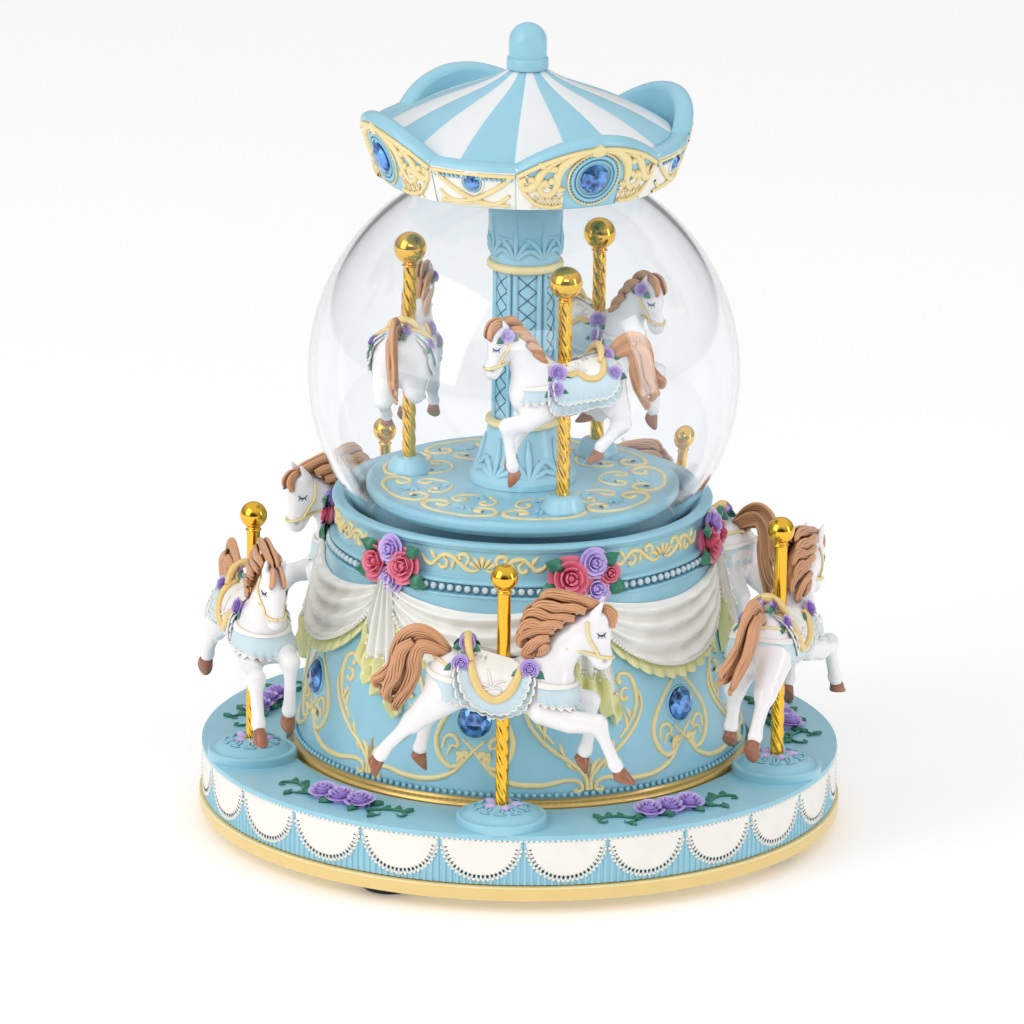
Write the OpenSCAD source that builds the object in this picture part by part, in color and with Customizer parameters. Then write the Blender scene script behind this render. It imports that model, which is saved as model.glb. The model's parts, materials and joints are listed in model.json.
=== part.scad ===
// Wind-up musical carousel with a glass globe.
// A spring movement in the turret turns a ring of five horses round the outside and,
// the other way, a small carousel of three horses inside the globe.
// Millimetres, +Z up. The origin is on the table under the centre and -Y is the front.
// Angles round the object start at the front and grow towards +X.

/* [Base] */
// Radius of the base plate
base_r = 74.7; // [74.5:0.1:75.5]
// Height of the rubber feet
foot_h = 3.2; // [3:0.1:3.4]
// Radius of the well that holds the winding key
well_r = 13; // [12.5:0.5:14]

/* [Turntable] */
// Radius of the turntable's upper edge
table_r = 74.15; // [73.8:0.05:74.3]
// Height of the deck's upper face
deck_z = 18.7; // [18.5:0.1:19]
// Radius of the circle that the outer poles stand on
pole_ring_r = 64; // [63.5:0.1:64.5]
// Radius of an outer pole
pole_r = 1.55; // [1.4:0.05:1.6]
// Radius of the ball on an outer pole
ball_r = 3.15; // [2.8:0.05:3.4]
// Height of the ball's centre on an outer pole
ball_z = 76.9; // [75:0.1:78]
// Angle of the first outer horse
first_horse = -3.5; // [-6:0.5:6]

/* [Turret] */
// Radius of the turret wall where it starts
wall_low_r = 52; // [51.5:0.1:52.5]
// Radius of the turret wall where it ends
wall_top_r = 45.3; // [44.8:0.1:45.8]
// Height at which the wall ends and the crown starts
wall_top_z = 66; // [65.5:0.1:66.5]
// Height of the crown's upper edge
crown_z = 78.4; // [78:0.1:79]
// Angle of the first rose cluster
first_cluster = -42; // [-46:1:-38]

/* [Globe] */
// Outer radius of the glass
globe_r = 50; // [49.5:0.1:50.5]
// Thickness of the glass
glass_t = 1.5; // [1.2:0.1:1.8]
// Height of the globe's centre
globe_z = 107.8; // [107.5:0.1:108]

/* [Inner carousel] */
// Radius of the inner platform
platform_r = 36.6; // [36:0.1:36.8]
// Radius of the circle that the inner poles stand on
inner_ring_r = 27; // [26:0.5:27.5]
// Size of an inner horse against an outer one
inner_scale = 0.85; // [0.8:0.01:0.88]

/* [Canopy] */
// Height of the canopy's lower edge
canopy_z = 155; // [154.8:0.1:155.5]
// Outer radius of the canopy's lower edge
canopy_low_r = 34; // [33.5:0.1:34.5]
// How far the canopy wall leans out for each millimetre up
canopy_lean = 0.32; // [0.25:0.01:0.36]
// Height of the middle of a large panel
large_top_z = 172.5; // [171:0.1:173]
// Height of a small panel
small_top_z = 166; // [165:0.1:167]

/* [Gears] */
// Teeth of the internal ring gear
ring_teeth = 96; // [96:1:96]
// Teeth of the idler gear
idler_teeth = 36; // [36:1:36]
// Play taken from each tooth
gear_play = 0.14; // [0.1:0.01:0.2]

/* [Hidden] */
$fn = 96;

sky = "#9fd3e6";
cream = "#ecd98f";
porcelain = "#f4f1ec";
gold = "#d6a021";
steel_grey = "#9a9ea3";
brass = "#b8923c";

// Heights from the floor up
plate_z = foot_h;
plate_top = 6.55;
well_top = 10;
boss_top = 12.5;
gear_z = 13;
gear_h = 2.6;
bed_z = 18;
bed_top = 20.5;
barrel_z = 22;
barrel_top = 35;
axis_z = 42.8;
bridge_z = 52;

// Turntable
deck_t = 2.5;
deck_hole_r = 54.5;
table_wall_r = 73.6;
table_gap = 0.3;
glide_r = 63.4;
run = 0.06;
horse_step = 360 / 5;
pedestal_r = 10.4;
pedestal_top = 23.2;
horse_floor = 30;

// Turret and globe
foot_ring_r = 53.2;
wall_t = 3;
crown_r = 44.2;
crown_in_r = 39.5;
cluster_step = 60;
gem_z = 38;
seat_z = 67.5;
gasket_z = 70;
neck_z = 71.2;
mouth_z = 76.5;
wall_slope = (wall_low_r - wall_top_r) / (wall_top_z - bed_top);
wall_lean = atan(wall_slope);

// Inner carousel
shaft_r = 2.5;
platform_z = 78.3;
platform_top = 82;
column_top = 153;
inner_ball_z = 135.5;
inner_ball_r = 3.8;
inner_pole_r = 1.6;
inner_floor = 90;
inner_step = 120;
first_inner = 20;

// Canopy
panel_t = 3.8;
large_angle = 58;
small_angle = 360 / 4 - large_angle;
first_large = 25;
roof_low_r = 33.4;
roof_low_z = 165.5;
collar_z = 179.7;
collar_r = 4.8;
collar_top = 182.8;
knob_r = 4.4;
top_z = 190.5;

// Gear train
sun_teeth = ring_teeth - 2 * idler_teeth;
idler_at = (sun_teeth + idler_teeth) / 2;
crown_teeth = 36;
crown_pitch_r = 12.25;
pinion_teeth = 18;
pinion_module = 2 * crown_pitch_r / crown_teeth;
train_module = 0.5;
train_wheel = 32;
train_pinion = 16;
train_y = train_module * (train_wheel + train_pinion) / 2;
worm_wheel_r = 3.9;
worm_r = 1.3;
worm_x = 30;
worm_y = train_y + worm_wheel_r + worm_r + 0.1;
arbor_r = 2;
sleeve_r = 4;

// ---------------------------------------------------------------- helpers

// Places children on a circle. Their own -Y then points away from the axis.
module around(angle, radius = 0, height = 0)
{
    rotate([0, 0, angle])
        translate([0, -radius, height])
            children();
}

module tube(r_out, r_in, low, high)
{
    translate([0, 0, low])
        difference() {
            cylinder(r = r_out, h = high - low);
            translate([0, 0, -1]) cylinder(r = r_in, h = high - low + 2);
        }
}

module bore(radius, low, high)
{
    translate([0, 0, low]) cylinder(r = radius, h = high - low, $fn = 48);
}

// Smooth chain of balls, each given as [x, y, z, radius]
module chain(balls, sides = 8)
{
    for (i = [0 : len(balls) - 2])
        hull() {
            translate([balls[i][0], balls[i][1], balls[i][2]])
                sphere(r = balls[i][3], $fn = sides);
            translate([balls[i + 1][0], balls[i + 1][1], balls[i + 1][2]])
                sphere(r = balls[i + 1][3], $fn = sides);
        }
}

// Turns a shape that is drawn round +Z so that its axis runs along +X
module along_x()
{
    rotate([90, 0, 90]) children();
}

function wall_r(z) = wall_low_r - (z - bed_top) * wall_slope;

// ---------------------------------------------------------------- gear outlines

function involute(angle) = tan(angle) * 180 / PI - angle;

// Half of a tooth's angle at a radius, for a 20 degree pressure angle
function half_tooth(teeth, mod, radius, play) =
    let (pitch_r = teeth * mod / 2, base = pitch_r * cos(20))
    90 / teeth - play / pitch_r * 90 / PI + involute(20)
        - involute(acos(min(1, base / max(radius, base))));

function gear_points(teeth, mod, low_r, high_r, play, steps) = [
    for (i = [0 : teeth - 1])
        for (side = [-1, 1])
            for (k = [0 : steps])
                let (f = side < 0 ? k / steps : 1 - k / steps,
                    radius = low_r + (high_r - low_r) * f,
                    angle = i * 360 / teeth + side * half_tooth(teeth, mod, radius, play))
                [radius * cos(angle), radius * sin(angle)]
];

module gear(teeth, mod, height, play = gear_play)
{
    pitch_r = teeth * mod / 2;
    linear_extrude(height)
        polygon(gear_points(teeth, mod, pitch_r - 1.2 * mod, pitch_r + mod, play, 4));
}

// ---------------------------------------------------------------- base

module base_plate()
{
    color(cream)
        difference() {
            union() {
                translate([0, 0, plate_z + 0.4]) cylinder(r = base_r, h = plate_top - plate_z - 0.4);
                translate([0, 0, plate_z]) cylinder(r1 = base_r - 0.4, r2 = base_r, h = 0.4);
                translate([0, 0, plate_z]) cylinder(r = well_r + 4, h = boss_top - plate_z);
            }
            translate([0, 0, plate_z - 1]) cylinder(r = well_r, h = well_top - plate_z + 1);
            bore(arbor_r + run, well_top - 1, boss_top + 1);
            each_post() {
                bore(1.6, plate_z - 1, plate_top + 1);
                bore(3.3, plate_z - 1, plate_z + 1.9);
            }
        }
}

// The four posts stand beside the idler gear
module each_post()
{
    for (angle = [60, 120, 240, 300])
        around(angle, 40) children();
}

module rubber_feet()
{
    color("#3a3a3d")
        for (i = [0 : 3])
            around(-28 + 90 * i, 63) {
                translate([0, 0, 0.5]) cylinder(r = 6.5, h = foot_h - 0.5);
                cylinder(r1 = 6, r2 = 6.5, h = 0.5);
            }
}

module base_screws()
{
    color(steel_grey)
        each_post() {
            difference() {
                translate([0, 0, plate_z + 0.3]) cylinder(r = 3, h = 1.6);
                translate([-0.4, -4, plate_z]) cube([0.8, 8, 0.9]);
            }
            translate([0, 0, plate_z + 1.9]) cylinder(r = 1.5, h = 9.6, $fn = 48);
        }
}

// Nylon ring that carries and centres the turntable
module glide_ring()
{
    color("#efeee8") {
        tube(glide_r + 2.6, glide_r - 1.6, plate_top, 12);
        tube(glide_r, glide_r - 1.6, 12, 13.6);
    }
}

// Four posts for the bedplate and a shouldered stud for the idler gear
module support_posts()
{
    color(steel_grey) {
        each_post()
            difference() {
                translate([0, 0, plate_top]) cylinder(r = 3.5, h = bed_z - plate_top);
                bore(1.5, plate_top - 1, 14.8);
            }
        around(180, idler_at) {
            translate([0, 0, plate_top]) cylinder(r = 4, h = gear_z - 0.1 - plate_top);
            bore(2, gear_z - 0.1, gear_z + gear_h + 0.6);
        }
    }
}

module bedplate()
{
    color(steel_grey)
        difference() {
            translate([0, 0, bed_z]) cylinder(r = foot_ring_r - 3.7, h = bed_top - bed_z);
            bore(sleeve_r + run, bed_z - 1, bed_top + 1);
        }
}

// ---------------------------------------------------------------- turret

module turret_foot_ring()
{
    color(gold)
        difference() {
            union() {
                translate([0, 0, bed_z - 1.8]) cylinder(r = foot_ring_r, h = 2.6);
                translate([0, 0, bed_z + 0.8]) cylinder(r1 = foot_ring_r, r2 = wall_low_r, h = 1.7);
            }
            bore(foot_ring_r - 3.66, bed_z - 3, bed_top + 1);
        }
}

module turret_shell()
{
    color(sky)
        difference() {
            translate([0, 0, bed_top])
                cylinder(r1 = wall_low_r, r2 = wall_top_r, h = wall_top_z - bed_top);
            translate([0, 0, bed_top - 0.01])
                cylinder(r1 = wall_low_r - wall_t, r2 = wall_top_r - wall_t,
                    h = wall_top_z - bed_top + 0.02);
        }
}

// Lays a flat ornament against the leaning wall
module on_wall(angle, height)
{
    around(angle, wall_r(height) + 0.05, height)
        rotate([90 - wall_lean, 0, 0])
            children();
}

module ring_bead(radius, bead)
{
    rotate_extrude()
        translate([radius, bead]) circle(r = bead, $fn = 16);
}

module arc_bead(radius, bead, start, sweep)
{
    rotate([0, 0, start])
        rotate_extrude(angle = sweep)
            translate([radius, bead]) circle(r = bead, $fn = 16);
}

module turret_scrollwork()
{
    color(cream)
        for (i = [0 : 5]) {
            on_wall(first_cluster + 30 + cluster_step * i, gem_z)
                ring_bead(4.6, 0.5);
            on_wall(first_cluster + 30 + cluster_step * i, gem_z - 13)
                arc_bead(6, 0.6, 20, 140);
            on_wall(first_cluster + cluster_step * i, gem_z - 8)
                arc_bead(5, 0.6, 200, 140);
        }
}

module faceted_gem(radius, height)
{
    cylinder(r1 = radius, r2 = radius, h = 0.3 * height, $fn = 12);
    translate([0, 0, 0.3 * height])
        linear_extrude(0.7 * height, scale = 0.55) circle(r = radius, $fn = 12);
}

module turret_gems()
{
    color("#2f62b0")
        for (i = [0 : 5])
            on_wall(first_cluster + 30 + cluster_step * i, gem_z)
                faceted_gem(3.5, 2.2);
}

// Six hanging swags and the six tails that drop under the rose clusters
module turret_drapes()
{
    color(porcelain)
        difference() {
            for (i = [0 : 5]) {
                for (side = [-1, 1])
                    chain([
                        for (k = [0, 0.5, 1])
                            let (angle = first_cluster + 30 + cluster_step * i + side * (27 - 27 * k),
                                height = 58.5 - 5 * k * (2 - k),
                                reach = wall_r(height) + 0.4)
                            [reach * sin(angle), -reach * cos(angle), height, 3 + 2 * k]
                    ]);
                chain([
                    for (k = [0, 1])
                        let (angle = first_cluster + cluster_step * i,
                            height = 62 - 22 * k,
                            reach = wall_r(height) + 0.2)
                        [reach * sin(angle), -reach * cos(angle), height, 3.2 - k]
                ]);
            }
            translate([0, 0, bed_top])
                cylinder(r1 = wall_low_r + 0.1, r2 = wall_top_r + 0.1, h = wall_top_z - bed_top);
        }
}

module crown_ring()
{
    color(sky)
        difference() {
            union() {
                translate([0, 0, wall_top_z]) cylinder(r = wall_top_r - 0.5, h = 2.6);
                translate([0, 0, wall_top_z + 2.6]) cylinder(r = crown_r - 1, h = 8.2);
                translate([0, 0, crown_z - 1.7]) cylinder(r = crown_r, h = 1.7);
            }
            translate([0, 0, seat_z]) cylinder(r = crown_in_r, h = 20);
            translate([0, 0, crown_z - 2.2])
                cylinder(r1 = crown_in_r, r2 = crown_in_r + 1.9, h = 2.21);
            translate([0, 0, wall_top_z - 1]) cylinder(r = crown_in_r - 2.5, h = 4);
        }
}

// Cream running scroll in the crown's recessed band
module crown_scrolls()
{
    color(cream)
        for (i = [0 : 35])
            if (i % 6 != 0)
                around(first_cluster + i * 10, crown_r - 0.95, 73.7)
                    rotate([90, 0, 0])
                        arc_bead(1.9, 0.4, i % 2 == 0 ? 0 : 180, 180);
}

module rose_clusters()
{
    color("#c99ad0")
        difference() {
            for (i = [0 : 5])
                around(first_cluster + cluster_step * i, crown_r + 0.6) {
                    translate([-3.6, 0, 73.6]) sphere(r = 4.4);
                    translate([3.2, 0, 76.6]) sphere(r = 3.8);
                    translate([3.9, 0, 70.2]) sphere(r = 3.6);
                }
            translate([0, 0, wall_top_z - 2]) cylinder(r = wall_top_r - 0.4, h = 20);
        }
}

// ---------------------------------------------------------------- globe

module globe_seat()
{
    color(sky)
        difference() {
            bore(crown_in_r - 0.1, seat_z, gasket_z, $fn = 96);
            bore(shaft_r + run, seat_z - 1, gasket_z + 1);
        }
}

module globe_gasket()
{
    color("#d8d6cf")
        tube(crown_in_r - 0.2, crown_in_r - 3, gasket_z, neck_z);
}

module glass_globe()
{
    neck_r = sqrt(pow(globe_r, 2) - pow(globe_z - mouth_z, 2));
    neck_in_r = sqrt(pow(globe_r - glass_t, 2) - pow(globe_z - mouth_z, 2));
    color("#dfeef5", 0.35)
        difference() {
            union() {
                difference() {
                    translate([0, 0, globe_z]) sphere(r = globe_r);
                    translate([0, 0, mouth_z - 30]) cylinder(r = 2 * globe_r, h = 30);
                }
                translate([0, 0, neck_z]) cylinder(r = neck_r, h = mouth_z - neck_z);
            }
            difference() {
                translate([0, 0, globe_z]) sphere(r = globe_r - glass_t);
                translate([0, 0, mouth_z - 30]) cylinder(r = 2 * globe_r, h = 30);
            }
            translate([0, 0, neck_z - 1]) cylinder(r = neck_in_r, h = mouth_z - neck_z + 1.01);
        }
}

// ---------------------------------------------------------------- canopy

function panel_r(z) = canopy_low_r + (z - canopy_z) * canopy_lean;

// Disc that closes the canopy and sits over the top of the glass
module canopy_ceiling()
{
    color(sky)
        difference() {
            translate([0, 0, canopy_z]) cylinder(r = canopy_low_r - panel_t, h = 2.5);
            translate([0, 0, globe_z]) sphere(r = globe_r + 0.02);
        }
}

module panel_sector(middle, sweep, top)
{
    rotate([0, 0, middle - 90 - sweep / 2])
        rotate_extrude(angle = sweep)
            polygon([
                [panel_r(canopy_z), canopy_z], [panel_r(top), top],
                [panel_r(top) - panel_t, top], [panel_r(canopy_z) - panel_t, canopy_z]
            ]);
}

// The tops of the large panels are arcs that come down to the small panels' height
module canopy_large_panels()
{
    half_width = panel_r(small_top_z) * sin(large_angle / 2);
    drop = large_top_z - small_top_z;
    arch_r = (pow(half_width, 2) + pow(drop, 2)) / (2 * drop);
    color(sky)
        for (i = [0 : 3])
            intersection() {
                panel_sector(first_large + 90 * i, large_angle - 0.1, large_top_z);
                around(first_large + 90 * i, 10, large_top_z - arch_r)
                    rotate([90, 0, 0]) cylinder(r = arch_r, h = 40, $fn = 128);
            }
}

module canopy_small_panels()
{
    color(porcelain)
        for (i = [0 : 3])
            panel_sector(first_large + 45 + 90 * i, small_angle - 0.1, small_top_z);
}

function roof_r(f) = collar_r - 0.4 + (roof_low_r - collar_r + 0.4) * f;
// The roof flares below its collar and swells into a dome further down
function roof_z(f) = roof_low_z
    + (collar_z - roof_low_z) * (0.25 * pow(1 - f, 6) + 0.75 * (1 - pow(f, 1.7)));

module canopy_roof()
{
    rows = 10;
    color("#cfe6f0")
        rotate_extrude()
            polygon(concat(
                [for (k = [0 : rows]) [roof_r(k / rows), roof_z(k / rows)]],
                [[roof_low_r - 0.64, roof_low_z - 2]],
                [for (k = [rows : -1 : 0]) [roof_r(k / rows) - 2, roof_z(k / rows) - 2.4]]
            ));
}

module on_canopy(angle, height)
{
    around(angle, panel_r(height) + 0.05, height)
        rotate([90 + atan(canopy_lean), 0, 0])
            children();
}

module canopy_gems()
{
    color("#2f62b0")
        for (i = [0 : 3]) {
            on_canopy(first_large + 90 * i, 162.6) faceted_gem(3.3, 1.8);
            on_canopy(first_large + 45 + 90 * i, 161.6) faceted_gem(1.7, 1.2);
        }
}

module canopy_finial()
{
    color(sky) {
        translate([0, 0, collar_z]) cylinder(r = collar_r, h = collar_top - collar_z);
        translate([0, 0, collar_top]) cylinder(r = knob_r, h = top_z - knob_r - collar_top);
        translate([0, 0, top_z - knob_r]) sphere(r = knob_r);
    }
}

// ---------------------------------------------------------------- turntable

module turntable()
{
    rim_z = deck_z - 1.1;
    color(sky)
        difference() {
            union() {
                tube(table_wall_r, table_wall_r - 2.2, plate_top + table_gap, rim_z);
                tube(table_r, deck_hole_r, rim_z, deck_z);
                tube(table_wall_r, deck_hole_r, deck_z - deck_t, rim_z);
                tube(deck_hole_r + 2.5, deck_hole_r, gear_z + gear_h, deck_z - deck_t);
                tube(glide_r + 2.6, glide_r + run, 12.15, deck_z - deck_t);
            }
            each_horse() bore(pole_r + 0.05, deck_z - deck_t - 1, deck_z + 1);
        }
}

module each_horse()
{
    for (i = [0 : 4])
        around(first_horse + horse_step * i, pole_ring_r) children();
}

// Internal ring gear screwed under the turntable
module ring_gear()
{
    pitch_r = ring_teeth / 2;
    color("#e8e3d2")
        translate([0, 0, gear_z])
            difference() {
                cylinder(r = deck_hole_r + 5.5, h = gear_h);
                translate([0, 0, -1])
                    rotate([0, 0, 180 / ring_teeth])
                        linear_extrude(gear_h + 2)
                            polygon(gear_points(ring_teeth, 1, pitch_r - 1, pitch_r + 1.2,
                                -gear_play, 2));
                each_gear_screw() bore(1.1, -1, gear_h + 1);
            }
}

module each_gear_screw()
{
    for (i = [0 : 4])
        around(first_horse + horse_step * (i + 0.5), deck_hole_r + 1.25) children();
}

module ring_gear_screws()
{
    color(steel_grey)
        each_gear_screw() {
            translate([0, 0, gear_z - 1.2]) cylinder(r = 2, h = 1.2);
            bore(1.05, gear_z, gear_z + gear_h);
        }
}

// White eyelet lace: a row of half-round scallops round the turntable's wall
module lace_trim()
{
    scallops = 24;
    scallop_r = 9.6;
    color(porcelain)
        intersection() {
            tube(table_wall_r + 0.5, table_wall_r + 0.02, plate_top + 1.4, deck_z - 1.15);
            for (i = [0 : scallops - 1])
                around(0.9 + 7.5 + 360 / scallops * i, table_wall_r - 3, deck_z - 0.7)
                    rotate([90, 0, 0]) cylinder(r = scallop_r, h = 8, $fn = 48);
        }
}

module deck_roses()
{
    color("#b59ad6")
        for (i = [0 : 4])
            around(first_horse + horse_step * (i + 0.5), pole_ring_r, deck_z + 0.02)
                for (side = [-1, 0, 1])
                    translate([4.6 * side, -1.4 * side, 0])
                        intersection() {
                            sphere(r = 3.4, $fn = 64);
                            translate([-5, -5, 0]) cube(10);
                        }
}

module outer_pedestals()
{
    color(sky)
        each_horse()
            difference() {
                union() {
                    translate([0, 0, deck_z]) cylinder(r = pedestal_r, h = 2);
                    translate([0, 0, deck_z + 2])
                        cylinder(r1 = pedestal_r - 0.6, r2 = 5, h = pedestal_top - deck_z - 2);
                }
                bore(pole_r + 0.05, deck_z - 1, pedestal_top + 1);
            }
}

module outer_poles()
{
    color(gold)
        each_horse() {
            bore(pole_r, deck_z - deck_t, ball_z);
            translate([0, 0, ball_z]) sphere(r = ball_r);
        }
}

// A leaping horse that faces +X, with its pole on the Z axis and its hooves near z = 0
module horse(height, hole = 1.85)
{
    near = -4.4;
    far = 4.4;
    difference() {
        union() {
            chain([[-11.5, 0, 23.4, 6.4], [0, 0, 21, 6.6], [9.5, 0, 22.3, 6.4]]);
            chain([[9, 0, 26.5, 5.6], [19.6, 0, 37, 3.2], [21.8, 0, 28.6, 2.2]]);
            chain([[19, 0, 41, 1.6], [12.5, 0, 40.5, 3], [4, 0, 31.5, 2]]);
            chain([[11, near, 17, 3.2], [21, near, 15.6, 2], [27, near - 0.4, 2.6, 1.9]]);
            chain([[12, far, 19, 3.2], [20.6, far, 18.6, 2], [18.2, far, 3, 1.9]]);
            chain([[-13, near + 1, 19, 4.2], [-21, near, 12.5, 2], [-28, near, 3.6, 1.9]]);
            chain([[-11, far - 1, 18, 4.2], [-15.5, far, 10.5, 2], [-18.6, far, 2.8, 1.9]]);
            chain([[-14.5, 0, 30, 1.6], [-20, 0, 33, 3], [-26.5, 0, 20, 3.4]]);
        }
        translate([0, 0, -1]) cylinder(r = hole, h = height, $fn = 24);
    }
}

module outer_horse(index)
{
    color(porcelain)
        around(first_horse + horse_step * (index - 1), pole_ring_r, horse_floor)
            horse(60);
}

module outer_horse_1() { outer_horse(1); }
module outer_horse_2() { outer_horse(2); }
module outer_horse_3() { outer_horse(3); }
module outer_horse_4() { outer_horse(4); }
module outer_horse_5() { outer_horse(5); }

// ---------------------------------------------------------------- inner carousel

module sun_gear()
{
    color(brass)
        difference() {
            union() {
                translate([0, 0, gear_z]) gear(sun_teeth, 1, gear_h);
                bore(sleeve_r, gear_z + gear_h, barrel_z);
            }
            bore(arbor_r + run, gear_z - 1, barrel_z + 1);
        }
}

module idler_gear()
{
    color("#e8e3d2")
        around(180, idler_at)
            difference() {
                translate([0, 0, gear_z])
                    rotate([0, 0, 180 / idler_teeth])
                        gear(idler_teeth, 1, gear_h);
                bore(2 + run, gear_z - 1, gear_z + gear_h + 1);
            }
}

module spring_barrel()
{
    color(brass)
        difference() {
            translate([0, 0, barrel_z]) cylinder(r = 13.1, h = barrel_top - barrel_z);
            translate([0, 0, barrel_z + 1.2]) cylinder(r = 12, h = barrel_top - barrel_z);
            bore(arbor_r + run, barrel_z - 1, barrel_top);
        }
}

// Lid of the barrel with contrate teeth that stand up round its edge
module barrel_cover()
{
    tooth_top = axis_z - crown_pitch_r / 2 + 0.6;
    disc_t = 0.9;
    pitch_half = 0.4;
    color(brass)
        difference() {
            union() {
                translate([0, 0, barrel_top]) cylinder(r = 13.1, h = disc_t);
                translate([0, 0, barrel_top]) cylinder(r = 4.4, h = 4);
                for (i = [0 : crown_teeth - 1])
                    rotate([0, 0, i * 360 / crown_teeth])
                        translate([11.4, 0, 0])
                            along_x()
                                linear_extrude(1.7)
                                    polygon([
                                        [-pitch_half - 0.25, barrel_top + disc_t - 0.2],
                                        [pitch_half + 0.25, barrel_top + disc_t - 0.2],
                                        [pitch_half - 0.2, tooth_top],
                                        [-pitch_half + 0.2, tooth_top]
                                    ]);
            }
            bore(shaft_r + 0.02, barrel_top + disc_t + 0.1, barrel_top + 5);
        }
}

// Spiral strip wound from the arbor out to the barrel wall
module mainspring()
{
    turns = 6;
    steps = 24 * turns;
    strip = 0.4;
    function spiral(k, shift) =
        let (radius = 3.4 + shift + 8 * k / steps, angle = k * 15)
        [radius * cos(angle), radius * sin(angle)];
    color("#6f7f95")
        translate([0, 0, barrel_z + 1.6])
            linear_extrude(10.8)
                polygon(concat(
                    [for (k = [0 : steps]) spiral(k, 0)],
                    [for (k = [steps : -1 : 0]) spiral(k, strip)]
                ));
}

module drive_shaft()
{
    color(steel_grey) bore(shaft_r, barrel_top + 1.2, 92);
}

module each_inner()
{
    for (i = [0 : 2])
        around(first_inner + inner_step * i, inner_ring_r) children();
}

module inner_platform()
{
    color(sky)
        difference() {
            union() {
                translate([0, 0, platform_z]) cylinder(r = platform_r, h = platform_top - platform_z);
                each_inner() {
                    translate([0, 0, platform_top - 1]) cylinder(r = 5, h = 1.5);
                    translate([0, 0, platform_top + 0.5]) cylinder(r1 = 5, r2 = 3.5, h = 3.2);
                }
            }
            bore(shaft_r + 0.02, platform_z - 1, platform_top + 1);
            each_inner() bore(inner_pole_r + 0.05, platform_z + 1, platform_top + 5);
        }
}

module column()
{
    color(sky)
        difference() {
            rotate_extrude()
                polygon([
                    [0, platform_top], [12.5, platform_top], [12.5, 84], [10.6, 86], [9.2, 90],
                    [8.2, 95.4], [9, 95.6], [9, 97], [7.3, 97.2], [7.3, 132.6], [9, 132.8],
                    [9, 134.8], [8.5, 135], [8.9, 150], [8.9, column_top], [0, column_top]
                ]);
            bore(shaft_r + 0.02, platform_top - 1, 92);
        }
}

module inner_poles()
{
    color(gold)
        each_inner() {
            bore(inner_pole_r, platform_z + 1, inner_ball_z);
            translate([0, 0, inner_ball_z]) sphere(r = inner_ball_r);
        }
}

module inner_horse(index)
{
    color(porcelain)
        around(first_inner + inner_step * (index - 1), inner_ring_r, inner_floor)
            mirror([1, 0, 0])
                scale(inner_scale)
                    horse(60, 2.05);
}

module inner_horse_1() { inner_horse(1); }
module inner_horse_2() { inner_horse(2); }
module inner_horse_3() { inner_horse(3); }

// ---------------------------------------------------------------- movement

module winding_key()
{
    color(brass)
        difference() {
            union() {
                for (side = [-1, 1])
                    translate([6 * side, 1.25, 4.4])
                        rotate([90, 0, 0]) cylinder(r = 3.6, h = 2.5, $fn = 64);
                translate([-6, -1.25, 2.4]) cube([12, 2.5, 4.6]);
                translate([0, 0, 4]) cylinder(r = 4, h = 4.6);
            }
            bore(arbor_r, 5, 10);
        }
}

module winding_arbor()
{
    color(steel_grey) {
        bore(arbor_r, 5, 34.5);
        bore(3.1, barrel_z + 1.6, 34.3);
    }
}

module ratchet_wheel()
{
    teeth = 24;
    color(steel_grey)
        translate([0, 0, 8.7])
            difference() {
                linear_extrude(1.1)
                    polygon([
                        for (i = [0 : teeth - 1])
                            for (k = [0, 1])
                                let (radius = k == 0 ? 6.5 : 5.7, angle = (i + 0.05 * k) * 360 / teeth)
                                [radius * cos(angle), radius * sin(angle)]
                    ]);
                bore(arbor_r, -1, 2);
            }
}

module winding_click()
{
    color(steel_grey)
        translate([0, 0, 8.8])
            difference() {
                linear_extrude(0.9)
                    union() {
                        translate([-9.4, 5.4]) circle(r = 1.6, $fn = 32);
                        polygon([[-10.6, 4.3], [-7.4, 0.4], [-6.6, 0.7], [-8, 6.1]]);
                    }
                translate([-9.4, 5.4, -1]) cylinder(r = 0.6, h = 3, $fn = 32);
            }
}

// Pinned cylinder with its pinion at the barrel end and its train wheel at the other
module music_cylinder()
{
    tracks = 18;
    color(brass)
        translate([0, 0, axis_z])
            along_x() {
                translate([0, 0, 14]) cylinder(r = 6.3, h = 20);
                bore(1, 9, 38.3);
                translate([0, 0, 11.5]) gear(pinion_teeth, pinion_module, 1.5);
                bore(2.4, 13, 14);
                bore(2.4, 34, 35.2);
                translate([0, 0, 35.2]) gear(train_wheel, train_module, 1.2, 0.1);
                for (k = [0 : tracks - 1])
                    for (j = [0 : 2])
                        rotate([0, 0, 137.5 * k + 120 * j])
                            translate([6, 0, 14.9 + 1.05 * k])
                                rotate([0, 90, 0]) cylinder(r = 0.25, h = 0.8, $fn = 16);
            }
}

module comb_block()
{
    color(brass)
        difference() {
            translate([14.3, -27, bed_top]) cube([19.4, 8, axis_z - 0.5 - bed_top]);
            each_comb_screw() bore(1.25, 36, axis_z + 1);
        }
}

module each_comb_screw()
{
    for (x = [18.5, 29.5])
        translate([x, -23, 0]) children();
}

// Steel comb with eighteen teeth that end just clear of the cylinder's pins
module music_comb()
{
    teeth = 18;
    pitch = 1.05;
    color(steel_grey)
        translate([0, 0, axis_z - 0.5])
            difference() {
                translate([14.3, -27, 0]) cube([19.4, 19.9, 1]);
                for (i = [0 : teeth])
                    translate([14.3 + 0.1 + pitch * i, -18 + 5 * i / teeth, -1]) cube([0.3, 12, 3]);
                each_comb_screw() bore(1.25, -1, 2);
            }
}

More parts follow.
